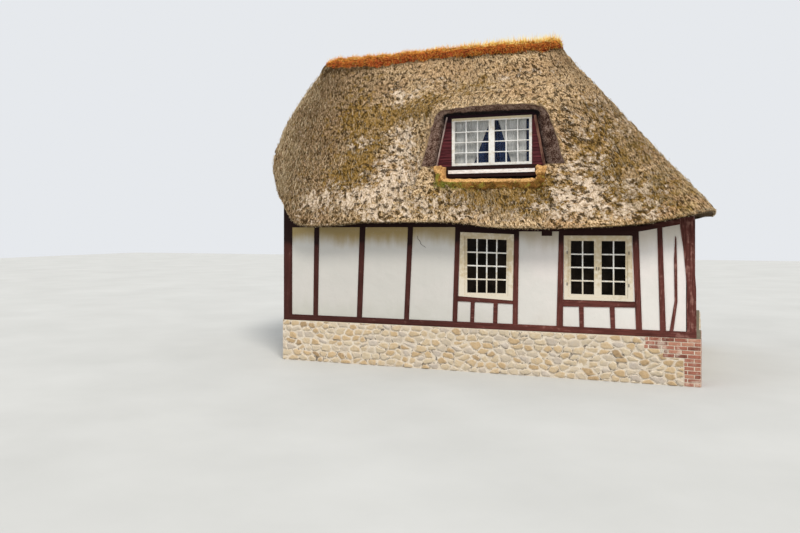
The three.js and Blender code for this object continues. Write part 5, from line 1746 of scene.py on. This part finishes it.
# %% Cloth in folds
NET_LENGTH = 0.955
HEAD_Z = 5.120
NET_Y = 0.5328  # the middle of the nets' folds
DRAPE_Y = 0.5581
FOLD_LIMIT = 0.016  # the deepest that a fold can be
CLOTH_ROWS = 36
FOLD_COLUMNS = 10  # columns of the grid for each fold
WIRE_Y = 0.5455
WIRE_RADIUS = 0.004
WIRE_Z = HEAD_Z + WIRE_RADIUS
ROD_SIDES = 12


def curtain(name, left, right, length, folds, cut_width, y, material, replaced, seed):
    """left and right hold the cloth's edges at its head and at its foot. x runs evenly between
    them, and y is the fold's depth times the sine of its phase, which drifts with noise."""
    rows, columns = CLOTH_ROWS, folds * FOLD_COLUMNS + 1
    v = np.linspace(0, 1, rows)[:, None]
    u = np.linspace(0, 1, columns)[None]
    x_left = left[0] + (left[1] - left[0]) * v
    x_right = right[0] + (right[1] - right[0]) * v
    drift = lattice_noise(join(u * folds / 4, v * 1.5, 0), 1.0, seed)
    phase = 2 * np.pi * folds * u + drift * 1.1
    depth = 1 + 0.25 * lattice_noise(join(u * folds / 3, v * 2, 0), 1.0, seed + 1)
    wave = np.sin(phase) * depth / 1.25
    x = x_left + (x_right - x_left) * u
    tries = np.linspace(0, FOLD_LIMIT, 61)
    sideways, outwards = np.diff(x, axis=1), np.diff(wave, axis=1) * tries[:, None, None]
    widths = np.hypot(sideways, outwards).sum(axis=2)
    fold = np.array([np.interp(cut_width, widths[:, row], tries) for row in range(rows)])[:, None]
    points = join(x, y + wave * fold, HEAD_Z - length * v)
    cloth = join(u * cut_width, v * length, 0)
    print(name, "folds", (fold.min() * 1000).round(1), "to", (fold.max() * 1000).round(1), "mm deep")
    made = piece(name, points + ORIGIN, grid_faces(rows, columns), material, cloth=cloth)
    settle(made, "blue_cloth" if name.startswith("drape") else "net_cloth", replaced)


def rod(name, start, end, radius, material, slot):
    """A round rod along x between two points."""
    angle = np.linspace(0, 2 * np.pi, ROD_SIDES, endpoint=False)
    ring = join(0, np.cos(angle), np.sin(angle)) * radius
    settle(tube(name, np.stack([start + ring, end + ring]), material), slot)


rod("curtain_wire", (-4.81, WIRE_Y, WIRE_Z), (-3.13, WIRE_Y, WIRE_Z), WIRE_RADIUS, IRON, "timber")
curtain("net_left", (-4.790, -4.790), (-3.990, -4.370), NET_LENGTH, 17, 0.90, NET_Y,
        net, "net_curtain_left", 131)
curtain("net_right", (-3.860, -3.560), (-3.265, -3.265), NET_LENGTH, 13, 0.67, NET_Y,
        net, "net_curtain_right", 133)
curtain("drape_blue", (-4.790, -4.790), (-3.150, -3.150), NET_LENGTH, 30, 1.86, DRAPE_Y,
        drape, "blue_drape", 135)
